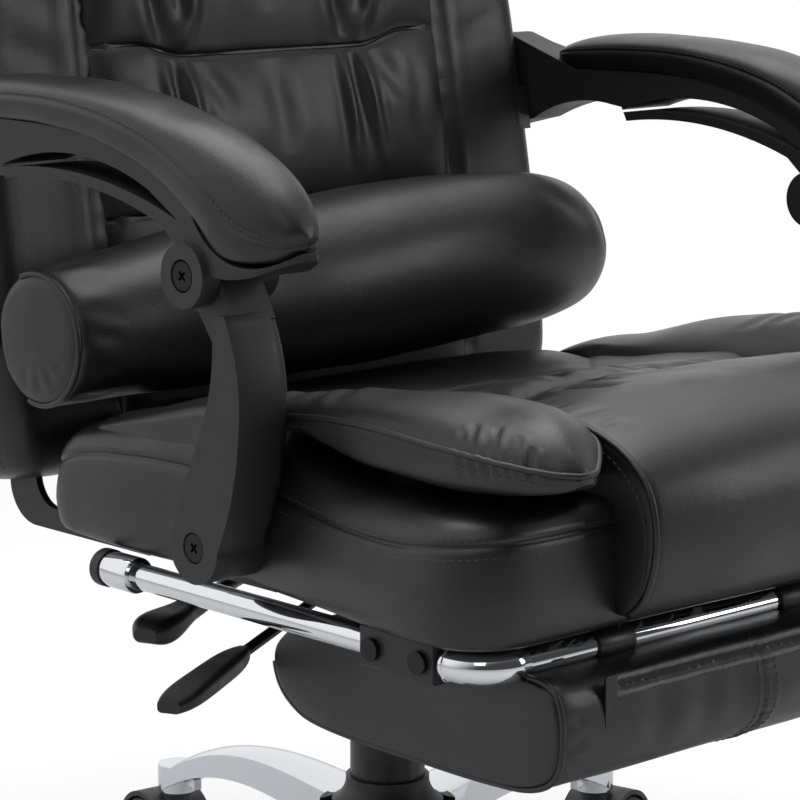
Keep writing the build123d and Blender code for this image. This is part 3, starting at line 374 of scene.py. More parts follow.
def puff(piece, sewn, pressure, most):
    """Blows a cover up over its padding with its seams held, then fixes the new shape.
    sewn is how firmly each point is held, most how far a point may move, in mm."""
    before, _ = points_of(piece)
    held = piece.vertex_groups.new(name="sewn")
    for k in np.nonzero(sewn > 0.02)[0]:
        held.add([int(k)], float(min(1, sewn[k])), "REPLACE")
    cover = piece.modifiers.new("cover", "CLOTH")
    cover.settings.quality = 5
    cover.settings.use_pressure = True
    cover.settings.uniform_pressure_force = pressure
    cover.settings.vertex_group_mass = "sewn"
    cover.settings.effector_weights.gravity = 0
    for step in range(1, SETTLE_STEPS + 1):
        scene.frame_set(step)
    done = piece.evaluated_get(bpy.context.evaluated_depsgraph_get())
    after = np.empty(len(before) * 3)
    done.data.vertices.foreach_get("co", after)
    shift = after.reshape(-1, 3) * 1000 - before
    reach = np.linalg.norm(shift, axis=1, keepdims=True)
    piece.modifiers.remove(cover)
    piece.vertex_groups.clear()
    scene.frame_set(1)
    move_to(piece, before + shift * np.minimum(1, most / np.maximum(reach, 1e-6)))


def refine(piece, levels=1):
    """Fixes a subdivision into the mesh."""
    work = piece.modifiers.new("finer", "SUBSURF")
    work.levels = work.render_levels = levels
    done = piece.evaluated_get(bpy.context.evaluated_depsgraph_get())
    mesh = bpy.data.meshes.new_from_object(done)
    piece.modifiers.remove(work)
    old = piece.data
    piece.data = mesh
    bpy.data.meshes.remove(old)
    mesh.name = piece.name
    mesh.shade_smooth()


def across(piece, lines, lift=0.0, way=None):
    """Lines of points brought on to a cover, raised by lift along its face. With way, they are
    thrown on to the cover in that direction, else each point goes to the nearest place."""
    work = bmesh.new()
    work.from_mesh(piece.data)
    tree = BVHTree.FromBMesh(work)
    work.free()
    found = []
    for line in lines:
        run = []
        for p in np.asarray(line, float) / 1000:
            if way is None:
                spot, out, _, _ = tree.find_nearest(Vector(p))
            else:
                spot, out, _, _ = tree.ray_cast(Vector(p), Vector(way))
            if spot is not None:
                run.append(tuple((spot + out * lift / 1000) * 1000))
        found.append(np.array(run))
    return found


def cord_rings(path, radius, sides=8):
    """Rings of a round cord along a path."""
    path = np.asarray(path, float)
    ahead = np.gradient(path, axis=0)
    ahead /= np.linalg.norm(ahead, axis=1, keepdims=True)
    side = np.cross(ahead[0], (0.3, 0.2, 1.0))
    rings = []
    turn = np.arange(sides) * 2 * math.pi / sides
    for p, a in zip(path, ahead):
        side = side - a * (side @ a)
        side /= np.linalg.norm(side)
        up = np.cross(a, side)
        rings.append(p + radius * (np.cos(turn)[:, None] * side + np.sin(turn)[:, None] * up))
    return rings


def piping(name, paths, radius):
    """Leather piping: a cord sewn into each seam, with shut ends."""
    made = [skin(name + "_run", cord_rings(path, radius)) for path in paths]
    whole = settle(name, made[0].data, [run.data for run in made[1:]])
    for run in made:
        bpy.data.objects.remove(run)
    return whole


def stitch_tree():
    """Geometry nodes that lay stitches along seam lines."""
    tree = bpy.data.node_groups.new("stitch_row", "GeometryNodeTree")
    tree.interface.new_socket("Seam", in_out="INPUT", socket_type="NodeSocketGeometry")
    for label, kind in (("Pitch", "NodeSocketFloat"), ("Stitch Length", "NodeSocketFloat"),
                        ("Thread", "NodeSocketFloat"), ("Finish", "NodeSocketMaterial")):
        tree.interface.new_socket(label, in_out="INPUT", socket_type=kind)
    tree.interface.new_socket("Stitches", in_out="OUTPUT", socket_type="NodeSocketGeometry")
    given = add(tree, "NodeGroupInput").outputs
    along = {"Curve": given["Seam"], "Length": given["Pitch"]}
    spots = add(tree, "GeometryNodeCurveToPoints", along, mode="LENGTH")
    bead = add(tree, "GeometryNodeMeshUVSphere", {"Segments": 6, "Rings": 4, "Radius": 0.5})
    turn = add(tree, "FunctionNodeAlignRotationToVector", {"Vector": spots.outputs["Tangent"]}, axis="Z")
    bulk = {"X": given["Thread"], "Y": given["Thread"], "Z": given["Stitch Length"]}
    size = add(tree, "ShaderNodeCombineXYZ", bulk)
    laid = {"Points": spots.outputs["Points"], "Instance": bead.outputs["Mesh"], "Rotation": turn.outputs[0],
            "Scale": size.outputs[0]}
    row = add(tree, "GeometryNodeInstanceOnPoints", laid)
    real = add(tree, "GeometryNodeRealizeInstances", {"Geometry": row.outputs[0]})
    smooth = add(tree, "GeometryNodeSetShadeSmooth", {"Geometry": real.outputs[0]})
    made = add(tree, "GeometryNodeSetMaterial", {"Geometry": smooth.outputs[0], "Material": given["Finish"]})
    add(tree, "NodeGroupOutput", {"Stitches": made.outputs[0]})
    return tree


stitch_row = stitch_tree()


def stitches(name, lines, body, pitch=4.6, length=3.3, thread=1.0):
    """Rows of thread along lines in mm, made one plain mesh on a body."""
    rows = bpy.data.curves.new(name, "CURVE")
    rows.dimensions = "3D"
    for line in lines:
        run = rows.splines.new("POLY")
        run.points.add(len(line) - 1)
        run.points.foreach_set("co", np.c_[np.asarray(line) / 1000, np.ones(len(line))].ravel())
    holder = bpy.data.objects.new(name + "_rows", rows)
    scene.collection.objects.link(holder)
    work = holder.modifiers.new("stitches", "NODES")
    work.node_group = stitch_row
    values = {"Pitch": pitch / 1000, "Stitch Length": length / 1000, "Thread": thread / 1000, "Finish": black_thread}
    for item in stitch_row.interface.items_tree:
        if item.in_out == "INPUT" and item.name in values:
            work[item.identifier] = values[item.name]
    done = holder.evaluated_get(bpy.context.evaluated_depsgraph_get())
    mesh = bpy.data.meshes.new_from_object(done)
    bpy.data.objects.remove(holder)
    piece = bpy.data.objects.new(name, mesh)
    scene.collection.objects.link(piece)
    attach(piece, body)


def upholster(piece, body, *replaced, fill=0.7):
    piece.data.materials.clear()
    piece.data.materials.append(hide)
    if replaced:
        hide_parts(*replaced)
    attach(piece, body)


# Coated split leather, black: pebble grain about 1.2 mm across under a satin polyurethane coat,
# duller on flat faces and a little shinier where it is pulled tight.
hide, tree, shader, place = finish("coated_black_leather", "#111112", 0.4, Coat_Weight=0.15, Coat_Roughness=0.26)
vary(tree, shader, place, 45, 0.33, 0.46, 5.0)
warp = add(tree, "ShaderNodeTexNoise", {"Vector": place, "Scale": 260.0, "Detail": 2.0})
drift = add(tree, "ShaderNodeVectorMath", {0: warp.outputs["Color"], 1: (0.0009, 0.0009, 0.0009)},
            operation="MULTIPLY")
spot = add(tree, "ShaderNodeVectorMath", {0: place, 1: drift.outputs[0]}, operation="ADD")
pebble = add(tree, "ShaderNodeTexVoronoi", {"Vector": spot.outputs[0], "Scale": 800.0}, feature="DISTANCE_TO_EDGE")
valley = add(tree, "ShaderNodeMapRange", {"Value": pebble.outputs["Distance"], "From Max": 0.22})
creases = add(tree, "ShaderNodeTexNoise", {"Vector": place, "Scale": 1000 / 6, "Detail": 6.0})
height = add(tree, "ShaderNodeMath", {0: creases.outputs["Fac"], 1: 2.2, 2: valley.outputs["Result"]},
             operation="MULTIPLY_ADD")
emboss(tree, shader, height.outputs[0], 0.12, 0.45)

# Bonded nylon sewing thread, black with a faint shine. Its colour is set lighter than the leather's, partly as a
# painted highlight for the glints that the stitches catch.
black_thread, tree, shader, place = finish("bonded_nylon_thread", "#343437", 0.38)
emboss(tree, shader, speckle(tree, place, 0.6), 0.1, 0.6)

# Each pair is a place along the side and a height.
SEAM_HEIGHT = ((65, 364), (52, 369), (23, 380), (-41, 389), (-96, 391), (-178, 387), (-249, 382), (-290, 382),
               (-340, 387), (-363, 389))
SHOULDER = ((65, 378), (52, 386), (32, 396), (-45, 409), (-100, 418), (-160, 422), (-190, 411), (-215, 406),
            (-300, 402), (-363, 404))
SEAT_LOW = 330.0
UNDER_PANEL = 392  # height of the hidden middle of the top
SEAT_MIDDLE = (0, -150)
half_plan = [(0, 63), (110, 63), (190, 62), (221, 54), (237, 38), (241, 8), (243, -40), (244, -100), (246, -150),
             (254, -215), (263, -275), (267, -312), (264, -336), (252, -352), (232, -361), (190, -363), (110, -363)]
plan = half_plan + [(0, -363)] + [(-x, y) for x, y in reversed(half_plan[1:])]
plan = through(plan, 440, closed=True)
ahead = np.roll(plan, -1, 0) - np.roll(plan, 1, 0)
outward = np.stack([-ahead[:, 1], ahead[:, 0]], 1) / np.linalg.norm(ahead, axis=1, keepdims=True)
outward *= np.sign((outward * (plan - SEAT_MIDDLE)).sum())


def seat_ring(inset, height):
    """The seat's outline, drawn in and set at a height."""
    return np.c_[plan - outward * inset, np.broadcast_to(height, len(plan))]


# How far in, against the way up a 54 mm side, across the seam and over the shoulder.
SIDE_TALL = 54
SIDE_BULGE = ((9.0, 0.0), (5.0, 0.3), (2.0, 2.0), (0.0, 5.5), (-1.4, 11), (-2.4, 18), (-3.0, 26), (-2.6, 34),
              (-1.8, 41))
SEAM_DENT = ((-1.2, -7.5), (-0.7, -4.5), (-0.3, -2.4), (0.5, -1.2), (2.6, 0.0), (0.9, 1.2), (0.4, 2.4), (0.9, 4.5))
SHOULDER_ROUND = ((1.9, 0.38), (3.6, 0.55), (6.4, 0.72), (10.5, 0.86), (16, 0.95), (24, 1.0), (36, 1.0))
seam_z = ease(plan[:, 1], *SEAM_HEIGHT)
top_z = ease(plan[:, 1], *SHOULDER)
rings = []
for share in (0.03, 0.3, 0.6, 0.85, 0.96):
    rings.append(np.c_[(plan - SEAT_MIDDLE) * share + SEAT_MIDDLE, np.full(len(plan), SEAT_LOW)])
for inset, rise in SIDE_BULGE:
    rings.append(seat_ring(inset, SEAT_LOW + rise * (seam_z - SEAT_LOW) / SIDE_TALL))
for inset, rise in SEAM_DENT:
    rings.append(seat_ring(inset, seam_z + rise))
for inset, share in SHOULDER_ROUND:
    rings.append(seat_ring(inset, seam_z + (top_z - seam_z) * share))
inner = seat_ring(SHOULDER_ROUND[-1][0], top_z)
for share in (0.85, 0.65, 0.4, 0.2, 0.03):
    ring = inner.copy()
    ring[:, :2] = (inner[:, :2] - SEAT_MIDDLE) * share + SEAT_MIDDLE
    ring[:, 2] = UNDER_PANEL + (top_z - UNDER_PANEL) * share
    rings.append(ring)
base = skin("seat_base", rings)
ripple(base, 150, 0.5, 3)
upholster(base, "seat", "seat_base_cushion", fill=0.85)
PANEL_HIDES = 170  # no stitches nearer to the middle than this, nor across a break of 20 mm
for lift, label in ((5.0, "upper"), (-5.5, "lower")):
    row = across(base, [seat_ring(-6, seam_z + lift)], -0.15)[0]
    keep = row[np.abs(row[:, 0]) > PANEL_HIDES]
    runs = np.split(keep, np.nonzero(np.linalg.norm(np.diff(keep, axis=0), axis=1) > 20)[0] + 1)
    stitches(f"seat_seam_{label}", [run for run in runs if len(run) > 3], "seat", thread=0.7)

# ------------------------ seat centre panel
# The middle of the seat: a stuffed panel that falls over the front edge like a waterfall, with
# piping down both sides, drawn in by two sewn lines across and by tucks that gather the leather.
# Each pair is a place along the seat and a height: the panel's edge, and its crowned middle.
EDGE_LINE = ((49, 396), (30, 399), (6, 401), (-35, 399), (-71, 397), (-105, 406), (-150, 414), (-207, 418),
             (-260, 430), (-306, 441), (-335, 440), (-364, 431), (-383, 416), (-391, 398), (-392, 374), (-385, 352),
             (-374, 339))
MIDDLE_LINE = ((49, 398), (30, 402), (6, 404), (-35, 403), (-71, 400), (-105, 413), (-150, 423), (-207, 428),
               (-255, 441), (-300, 450), (-335, 450), (-368, 441), (-390, 424), (-400, 402), (-401, 374),
               (-394, 352), (-382, 339))
HALF_PANEL = 165.0
edge_line = through(EDGE_LINE, 130)
middle_line = through(MIDDLE_LINE, 130)
under = np.array([(-352, 338), (-352, 390), (-250, 391), (-150, 391), (-50, 391), (40, 391), (47, 392)], float)
rings = []
for x in np.linspace(-HALF_PANEL, HALF_PANEL, 69):
    crown = (1 - abs(x / HALF_PANEL)**2.6)**0.75
    line = np.vstack([edge_line + (middle_line - edge_line) * crown, under])
    rings.append(np.c_[np.full(len(line), x), line])


def slab(name, rings):
    """A closed cover whose first and last ring are flat walls of any outline."""
    rings = np.asarray(rings, float) / 1000
    rows, cols = rings.shape[:2]
    last = (rows - 1) * cols
    walls = [list(range(cols)), list(range(last, last + cols))]
    mesh = bpy.data.meshes.new(name)
    mesh.from_pydata(rings.reshape(-1, 3).tolist(), [], between(rows, cols) + walls)
    work = bmesh.new()
    work.from_mesh(mesh)
    bmesh.ops.triangulate(work, faces=[f for f in work.faces if len(f.verts) > 4])
    work.to_mesh(mesh)
    work.free()
    return settle(name, mesh)


centre = slab("seat_centre", rings)
co, out = points_of(centre)
hem = np.clip(1 - np.minimum(HALF_PANEL - np.abs(co[:, 0]), 12) / 12, 0, 1)
sewn = np.maximum.reduce([hem, (co[:, 2] < 396) * 1.0, np.exp(-((co[:, 1] + 75) / 9)**2)])
puff(centre, sewn, 1.5, 5.0)
rear_line = [(-160, -78, 398), (-60, -74, 401), (60, -70, 401), (160, -73, 398)]
front_line = [(-150, -204, 418), (-88, -206, 424), (-12, -184, 427), (60, -178, 427), (150, -196, 418)]
fold(centre, [rear_line], 9, 4.0, taper=0.08)
fold(centre, [front_line], 10, 3.0, taper=0.2)
TUCKS = ((-90, -208), (-14, -184), (60, -178), (128, -190))
SPREAD = (  # where a pleat ends, sideways and along, its width and depth
    (-34, -62, 6, 3.4), (6, -84, 7, 3.6), (44, -56, 6, 2.8), (-26, 44, 6, 2.6), (22, 50, 6, 2.8))
for x, y in TUCKS:
    for dx, dy, width, depth in SPREAD:
        line = [(x, y, 425), (x + dx * 0.45, y + dy * 0.5, 427), (x + dx, y + dy, 432)]
        fold(centre, across(centre, [line]), width, depth, taper=0.55)
refine(centre)
RUCKS = ((-262, 432, 146), (-283, 439, 138), (-301, 442, 144), (-326, 442, 134), (-344, 441, 141))
for side in (-1, 1):
    rucks = [[(side * 161, y, z), (side * 154, y - 1, z + 4), (side * reach, y - 5, z + 6)] for y, z, reach in RUCKS]
    fold(centre, across(centre, rucks), 3.0, 0.8, taper=0.5)
ripple(centre, 70, 0.6, 11)
upholster(centre, "seat", "seat_centre_panel", fill=0.75)
welt_lines = []
for side in (-1, 1):
    line = [(side * HALF_PANEL, y, z) for y, z in through(EDGE_LINE[7:], 90)]
    welt_lines += across(centre, [line], 0.6)
welt = piping("waterfall_piping", welt_lines, 2.1)
upholster(welt, "seat", fill=1.0)
rows = []
for side in (-1, 1):
    rows.append([(side * (HALF_PANEL + 0.2), y + 6.5, z - 5.5) for y, z in through(EDGE_LINE[8:], 90)])
stitches("waterfall_stitches", rows, "seat", thread=0.7)

# ------------------------ side pillows
# A slim bolster sewn on each side of the seat: crowned top, piped edge, short side wall that
# lifts off the cushion in front of the arm link. The cover gathers along the piping near the front.
PILLOW = (  # distance along, inner side, outer side, height of inner edge, piping, crown, underside
    (22, 190, 214, 396, 395, 397, 393),
    (16, 176, 226, 398, 397, 400, 393),
    (0, 167, 234, 401, 402, 408, 393),
    (-30, 165, 238, 400, 409, 414, 393),
    (-60, 165, 240, 400, 415, 421, 393),
    (-100, 165, 242, 404, 424, 430, 394),
    (-140, 165, 245, 410, 430, 437, 396),
    (-172, 165, 247, 414, 433, 441, 400),
    (-190, 165, 248, 416, 435, 444, 425),
    (-215, 165, 249, 419, 438, 449, 421),
    (-245, 165, 249.5, 424, 439, 453, 416),
    (-280, 165, 250, 431, 438, 457, 413),
    (-310, 165, 250, 436, 436, 459, 412),
    (-335, 166, 250, 437, 435, 458, 413),
    (-352, 172, 249, 436, 434, 457, 414),
    (-368, 184, 247, 434, 433, 454, 416),
    (-381, 197, 243, 432, 432, 449, 418),
    (-391, 208, 238, 431, 431, 442, 420),
    (-397, 215, 232, 430, 430.5, 436, 423),
    (-400, 220, 227, 430, 430, 431.5, 425),
)
turn = np.linspace(0, 1, 44)
rings = []
for y, inside, outside, low_in, seam, crown, low in through(PILLOW, 96):
    x = inside + (outside - inside) * turn
    shape = np.sin(math.pi * turn**1.15)**0.62
    rise = crown - (low_in + (seam - low_in) * 0.55)
    top = low_in + (seam - low_in) * turn + rise * shape
    wall = [(outside + 0.9, seam - 1.2), (outside + 1.2, seam - 3.5), (outside + 0.6, (seam + low) / 2),
            (outside - 1.6, low + 2.0)]
    bottom = [(outside + (inside - outside) * s, low) for s in (0.08, 0.3, 0.5, 0.7, 0.92)]
    inner_wall = [(inside + 0.3, low + (low_in - low) * s) for s in (0.15, 0.5, 0.85)]
    rings.append([(a, y, b) for a, b in [*zip(x, top), *wall, *bottom, *inner_wall]])
pillow = skin("side_pillow_l", rings)
co, out = points_of(pillow)
seam_here = ease(co[:, 1], *((s[0], s[4]) for s in PILLOW[1:-1]))
wide = ease(co[:, 1], *((s[0], s[2]) for s in PILLOW[1:-1]))
near_seam = np.exp(-((co[:, 2] - seam_here) / 3)**2 - ((co[:, 0] - wide) / 3)**2)
puff(pillow, np.maximum(near_seam, (out[:, 2] < -0.3) * 1.0), 1.2, 3.0)
refine(pillow)
gathers = []
for y, reach in ((-334, 14), (-343, 26), (-352, 16), (-360, 28), (-367, 15), (-374, 22), (-381, 12)):
    gathers.append([(255, y - 2, 420), (252, y, 429), (250, y + reach * 0.15, 436),
                    (247 - reach * 0.5, y + reach * 0.5, 445)])
fold(pillow, across(pillow, gathers), 2.4, 1.3, ridge=0.5, taper=0.35)
soft_folds = [[(244, -200, 440), (222, -192, 446), (196, -186, 441)],
              [(244, -226, 444), (224, -214, 450), (204, -205, 447)],
              [(242, -176, 436), (220, -168, 441), (196, -160, 434)],
              [(240, -150, 434), (216, -146, 438), (190, -140, 428)]]
fold(pillow, across(pillow, soft_folds), 6, 1.3, taper=0.5)
ripple(pillow, 60, 0.45, 5)


def mirrored(piece, name):
    """The same piece for the other side of the chair."""
    mesh = piece.data.copy()
    work = bmesh.new()
    work.from_mesh(mesh)
    bmesh.ops.scale(work, verts=work.verts, vec=(-1, 1, 1))
    bmesh.ops.reverse_faces(work, faces=work.faces)
    work.to_mesh(mesh)
    work.free()
    twin = bpy.data.objects.new(name, mesh)
    mesh.name = name
    scene.collection.objects.link(twin)
    return twin


welt_line = [(s[2] + 1.0, s[0], s[4]) for s in PILLOW[6:]] + [(s[1] - 0.5, s[0], s[3]) for s in PILLOW[::-1][1:8]]
pillow_welt = piping("pillow_piping_l", across(pillow, [through(welt_line, 110)], 0.5), 1.8)
row = across(pillow, [through([(s[2] + 2, s[0], s[4] - 7) for s in PILLOW[8:-2]], 90)], 0.1)[0]
twins = mirrored(pillow, "side_pillow_r"), mirrored(pillow_welt, "pillow_piping_r")
upholster(pillow, "seat", "seat_side_pad_l", fill=0.7)
upholster(twins[0], "seat", "seat_side_pad_r", fill=0.7)
upholster(pillow_welt, "seat", fill=1.0)
upholster(twins[1], "seat", fill=1.0)
stitches("pillow_stitches", [row, row * (-1, 1, 1)], "seat", thread=0.7)

# ------------------------ arm links and beams
# Glass-filled nylon mouldings, matt black: a tapering link from the seat, a bowed beam with a
# slim strut under the pad, and a wing bolted to the side of the backrest.
moulded = plain("matt_moulded_nylon", "#202021", 0.5, 30, 0.44, 0.56, grain=(0.7, 0.04, 0.5))
dress("front_link_l front_link_r arm_beam_l arm_beam_r", moulded, 3.0)

# ------------------------ arm pads
# Moulded foam under stitched leather, set in the tray of the beam: a top panel and a side band
# that meet in one lapped seam with a row of stitches.
# Each pair is a place along the arm and a height: the ridge of the pad, its seam and its foot.
PAD_TOP = ((90, 590), (88, 598), (78, 606), (52, 612), (15, 614.5), (-38, 614), (-91, 609), (-127, 602),
           (-154, 595), (-188, 582), (-213, 566), (-226, 550), (-230, 540))
PAD_SEAM = ((92, 589), (84, 599), (52, 603), (15, 605), (-30, 605), (-76, 600), (-114, 591), (-139, 581),
            (-163, 568), (-184, 552), (-198, 544), (-213, 539), (-228, 536))
PAD_LOW = ((90, 586), (84, 587), (52, 588), (19, 588.5), (-22, 588), (-62, 583.5), (-101, 574), (-120, 567),
           (-139, 558), (-163, 542), (-176, 528), (-191, 524), (-224, 526))
PAD_BAND = ((0.06, 1.3), (0.13, -0.5), (0.3, -0.6), (0.6, 0.4), (0.88, 1.8), (1.0, 4.0))  # way down, how far in
ARM_X = 265.7
ARM_HALF = 27.0
PAD_STATIONS = 92
tops, seams, lows = (through(line, PAD_STATIONS) for line in (PAD_TOP, PAD_SEAM, PAD_LOW))
rings = []
seam_out, seam_in = [], []
for k, (top, seam, low) in enumerate(zip(tops, seams, lows)):
    s = k / (PAD_STATIONS - 1)
    fore = np.clip((s - 0.80) / 0.20, 0, 1)
    rear = np.clip((0.10 - s) / 0.10, 0, 1)
    half = ARM_HALF * math.sqrt(max(0.0, 1 - fore**2.3)) * math.sqrt(max(0.0, 1 - rear**2.4)) + 0.4
    crown = []
    for u in np.linspace(-1, 1, 33):
        rise = max(0.0, 1 - abs(u)**2.6)**0.62
        crown.append((u * half, *(seam + (top - seam) * rise)))
    band = [(max(half - inset, 0.1), *(seam + (low - seam) * share)) for share, inset in PAD_BAND]
    loop = crown + band + [(-x, y, z) for x, y, z in band[::-1]]
    rings.append([(ARM_X + x, y, z) for x, y, z in loop])
    if k > 5:
        stitched = seam + (top - seam) * 0.07
        seam_out.append((ARM_X + half, *stitched))
        seam_in.append((ARM_X - half, *stitched))
pad = skin("arm_pad_cover_l", rings)
refine(pad)
pad_rows = across(pad, [through(seam_out + seam_in[::-1], 300)], 0.15)
ripple(pad, 40, 0.25, 21)
twin = mirrored(pad, "arm_pad_cover_r")
upholster(pad, "beam_l", "arm_pad_l", fill=0.9)
upholster(twin, "beam_r", "arm_pad_r", fill=0.9)
stitches("arm_stitches_l", pad_rows, "beam_l", pitch=3.6, length=2.7, thread=0.6)
stitches("arm_stitches_r", [row * (-1, 1, 1) for row in pad_rows], "beam_r", pitch=3.6, length=2.7, thread=0.6)

# ------------------------ footrest frame
# Two chromed tubes slide in black steel guides under the seat, with cast elbows to the crossbar
# that the leg pad turns on, stop sleeves at the rear and plastic end caps.
dress("footrest_rails footrest_crossbar footrest_elbows rail_sleeves", chrome, 0.3)
dress("rail_caps", nylon, 0)
dress("footrest_guide_l footrest_guide_r", moulded, 0.8)

# ------------------------ leg pad
# Stored upside down under the seat: foam on a board in a leather slip cover with a zip along
# its front, two twin seams across, piping round both side panels and a slim black zip pull.
REST_HALF = 222.0
PROFILE = (  # along and up, round the pad from the rear of its top
    (-150, 297), (-144, 289), (-143, 279), (-148, 266), (-160, 256), (-178, 250), (-220, 247.5), (-280, 246.5),
    (-330, 247), (-352, 248.5), (-368, 254), (-376, 263), (-379, 275), (-379, 292), (-376.5, 302), (-372.5, 308),
    (-365, 311.5), (-352, 312.5), (-300, 312.6), (-240, 312.6), (-190, 311.5), (-164, 306))
profile = through(PROFILE, 150, closed=True)
hub = np.array((-270.0, 282.0))
ahead = np.roll(profile, -1, 0) - np.roll(profile, 1, 0)
face = np.stack([ahead[:, 1], -ahead[:, 0]], 1) / np.linalg.norm(ahead, axis=1, keepdims=True)
if ((profile - hub) * face).sum() < 0:
    face = -face


def side_panel(side):
    """Rings of a side panel, from its middle out to the piping."""
    ends = ((0.10, 0.5), (0.4, 0.9), (0.7, 1.0), (0.88, 0.7), (0.955, 0.2))
    return [np.c_[np.full(len(profile), side * (REST_HALF + bulge * 2.2)), hub + (profile - hub) * share]
            for share, bulge in ends]


rings = side_panel(-1)
for x in np.r_[-222.3, -221, -218.5, np.linspace(-214, 214, 88), 218.5, 221, 222.3]:
    edge = (abs(x) - 212) / 10
    inset = 3.2 * np.clip(edge, 0, 1)**3
    belly = 2.0 * (1 - (x / REST_HALF)**2)
    rings.append(np.c_[np.full(len(profile), x), profile + face * (belly - inset)])
rings += side_panel(1)[::-1]
rest = skin("leg_pad_cover", rings)
co, out = points_of(rest)
puff(rest, np.maximum((co[:, 2] > 306) * 1.0, np.clip((np.abs(co[:, 0]) - 205) / 12, 0, 1)), 1.2, 3.5)
refine(rest)
FRONT = PROFILE[3:16]
LOWER_EDGE = 262  # height below which the twin seams lean outwards


def twin_seam(x, points):
    """A seam down the front of the pad."""
    return [(x + (0 if z > LOWER_EDGE else (LOWER_EDGE - z) * 0.25 * np.sign(x)), y, z) for y, z in points]


for x in (-62, -56, 56, 62):
    fold(rest, across(rest, [through(twin_seam(x, FRONT), 70)]), 1.6, 1.1, ridge=0.5, taper=0.03)
INWARD = (0, 1, 0)
zip_line = [(x, -400, 304.5) for x in np.linspace(-184, 190, 100)]
fold(rest, across(rest, [zip_line], 0, INWARD), 3.0, 1.6, ridge=0.5, taper=0.04)
sags = [[(x, -379, 300), (x + 4, -380, 282), (x + 2, -376, 262)] for x in (-150, -112, -84, -28, 12, 96, 150)]
fold(rest, across(rest, sags), 11, 0.9, taper=0.5)
fold(rest, across(rest, [[(-214, -372, z), (-202, -378, z - 3)] for z in (268, 280, 292)]), 3.4, 0.8, taper=0.5)
ripple(rest, 90, 0.5, 8)
upholster(rest, "leg_pad", "footrest_pad", fill=0.8)
rims = []
for side in (-1, 1):
    rim = [(side * 220.5, *(hub + (p - hub) * 1.02)) for p in through(PROFILE, 220, closed=True)]
    rims.append(rim[8:170])
upholster(piping("leg_pad_piping", across(rest, rims, 0.7), 1.9), "leg_pad", fill=1.0)
rows = across(rest, [twin_seam(x, through(FRONT, 70)) for x in (-66, -52, 52, 66)], 0.1)
rows += across(rest, [[(x, -400, 298.5) for x in np.linspace(-180, 188, 120)]], 0.1, INWARD)
stitches("leg_pad_stitches", rows, "leg_pad", thread=0.7)


# The closed zip, a raised coil of black nylon sewn along the front, with its moulded pull.
def ribbon(name, line, width, thick, way):
    """A flat band along a line, its width across the given direction."""
    line = np.asarray(line, float)
    ahead = np.gradient(line, axis=0)
    ahead /= np.linalg.norm(ahead, axis=1, keepdims=True)
    flat = np.cross(ahead, way)
    flat /= np.linalg.norm(flat, axis=1, keepdims=True)
    up = np.cross(flat, ahead)
    section = ((-1, -0.4), (-0.92, -1), (0, -1), (0.92, -1), (1, -0.4), (1, 0.4), (0.92, 1), (0, 1), (-0.92, 1),
               (-1, 0.4))
    rings = [[p + f * a * width / 2 + u * b * thick / 2 for a, b in section] for p, f, u in zip(line, flat, up)]
    return skin(name, rings)


coil, tree, shader, place = finish("nylon_zip_coil", "#121213", 0.35)
teeth = add(tree, "ShaderNodeTexWave", {"Vector": place, "Scale": 420.0}, bands_direction="X")
emboss(tree, shader, teeth.outputs["Fac"], 0.4, 0.8)
zipper = ribbon("leg_pad_zip", across(rest, [zip_line], 0.2, INWARD)[0], 3.4, 1.2, (0, -1, 0.2))
zipper.data.materials.append(coil)
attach(zipper, "leg_pad")
dress("zip_pull", grip, 0.3)

# ------------------------ backrest
# Moulded foam on a board, covered in leather: side boxing sewn to the front border, a quilted
# middle with swollen blocks between tucked seams, a head pillow and a padded panel at the rear.
LEAN = math.radians(9.0)
FOOT = (78.0, 351.0)


def leaned(points):
    """Points written across, into and up the back, brought into the chair's frame."""
    p = np.asarray(points, float)
    y = FOOT[0] + p[..., 1] * math.cos(LEAN) + p[..., 2] * math.sin(LEAN)
    z = FOOT[1] - p[..., 1] * math.sin(LEAN) + p[..., 2] * math.cos(LEAN)
    return np.stack([p[..., 0], y, z], -1)


BACK = (  # up the back, half width, front, inset of the rear
    (2, 205, 32, 16), (5, 222, 20, 9), (12, 231, 10, 4), (30, 238, 3, 1), (60, 241, 0, 0), (120, 242, -1, 0),
    (190, 242, -2, 0), (250, 241, -2, 0), (320, 238, -2, 0), (400, 232, -2, 0), (480, 224, -2, 0), (560, 214, -1, 0),
    (620, 202, 0, 0), (665, 187, 3, 1), (700, 165, 8, 4), (722, 140, 17, 9), (732, 118, 27, 16), (735, 100, 36, 24))
BACK_DEEP = 102.0
rings = []
for up, half, face, short in through(BACK, 150):
    rear = BACK_DEEP - short
    front_row = [(u * (half - 20), face - 4 * (1 - u * u), up) for u in np.linspace(-1, 1, 61)]
    flank = [(half - 12, face + 1.5), (half - 5, face + 6), (half - 1, face + 13), (half + 1.0, face + 24),
             (half + 2.4, (face + rear) / 2), (half + 1.2, rear - 18), (half - 1, rear - 7), (half - 7, rear - 1.5)]
    rear_row = [(u * (half - 10), rear, up) for u in np.linspace(1, -1, 31)[1:-1]]
    right, left = [(x, into, up) for x, into in flank], [(-x, into, up) for x, into in flank[::-1]]
    loop = front_row + right + rear_row + left
    rings.append(leaned(loop))
back = skin("backrest", rings)
QUILT_HALF = 152.0
for side in (-1, 1):
    border = leaned([(side * (QUILT_HALF + 1), -6, up) for up in np.linspace(25, 490, 90)])
    fold(back, [border], 7, 6.0, ridge=0.2, taper=0.0)
boxing = []
for side in (-1, 1):
    line = [(side * (half + 1.5), face + 23, up) for up, half, face, _ in through(BACK[2:16], 120)]
    boxing += across(back, [leaned(line)])
fold(back, boxing, 1.8, 1.3, ridge=0.5, taper=0.0)
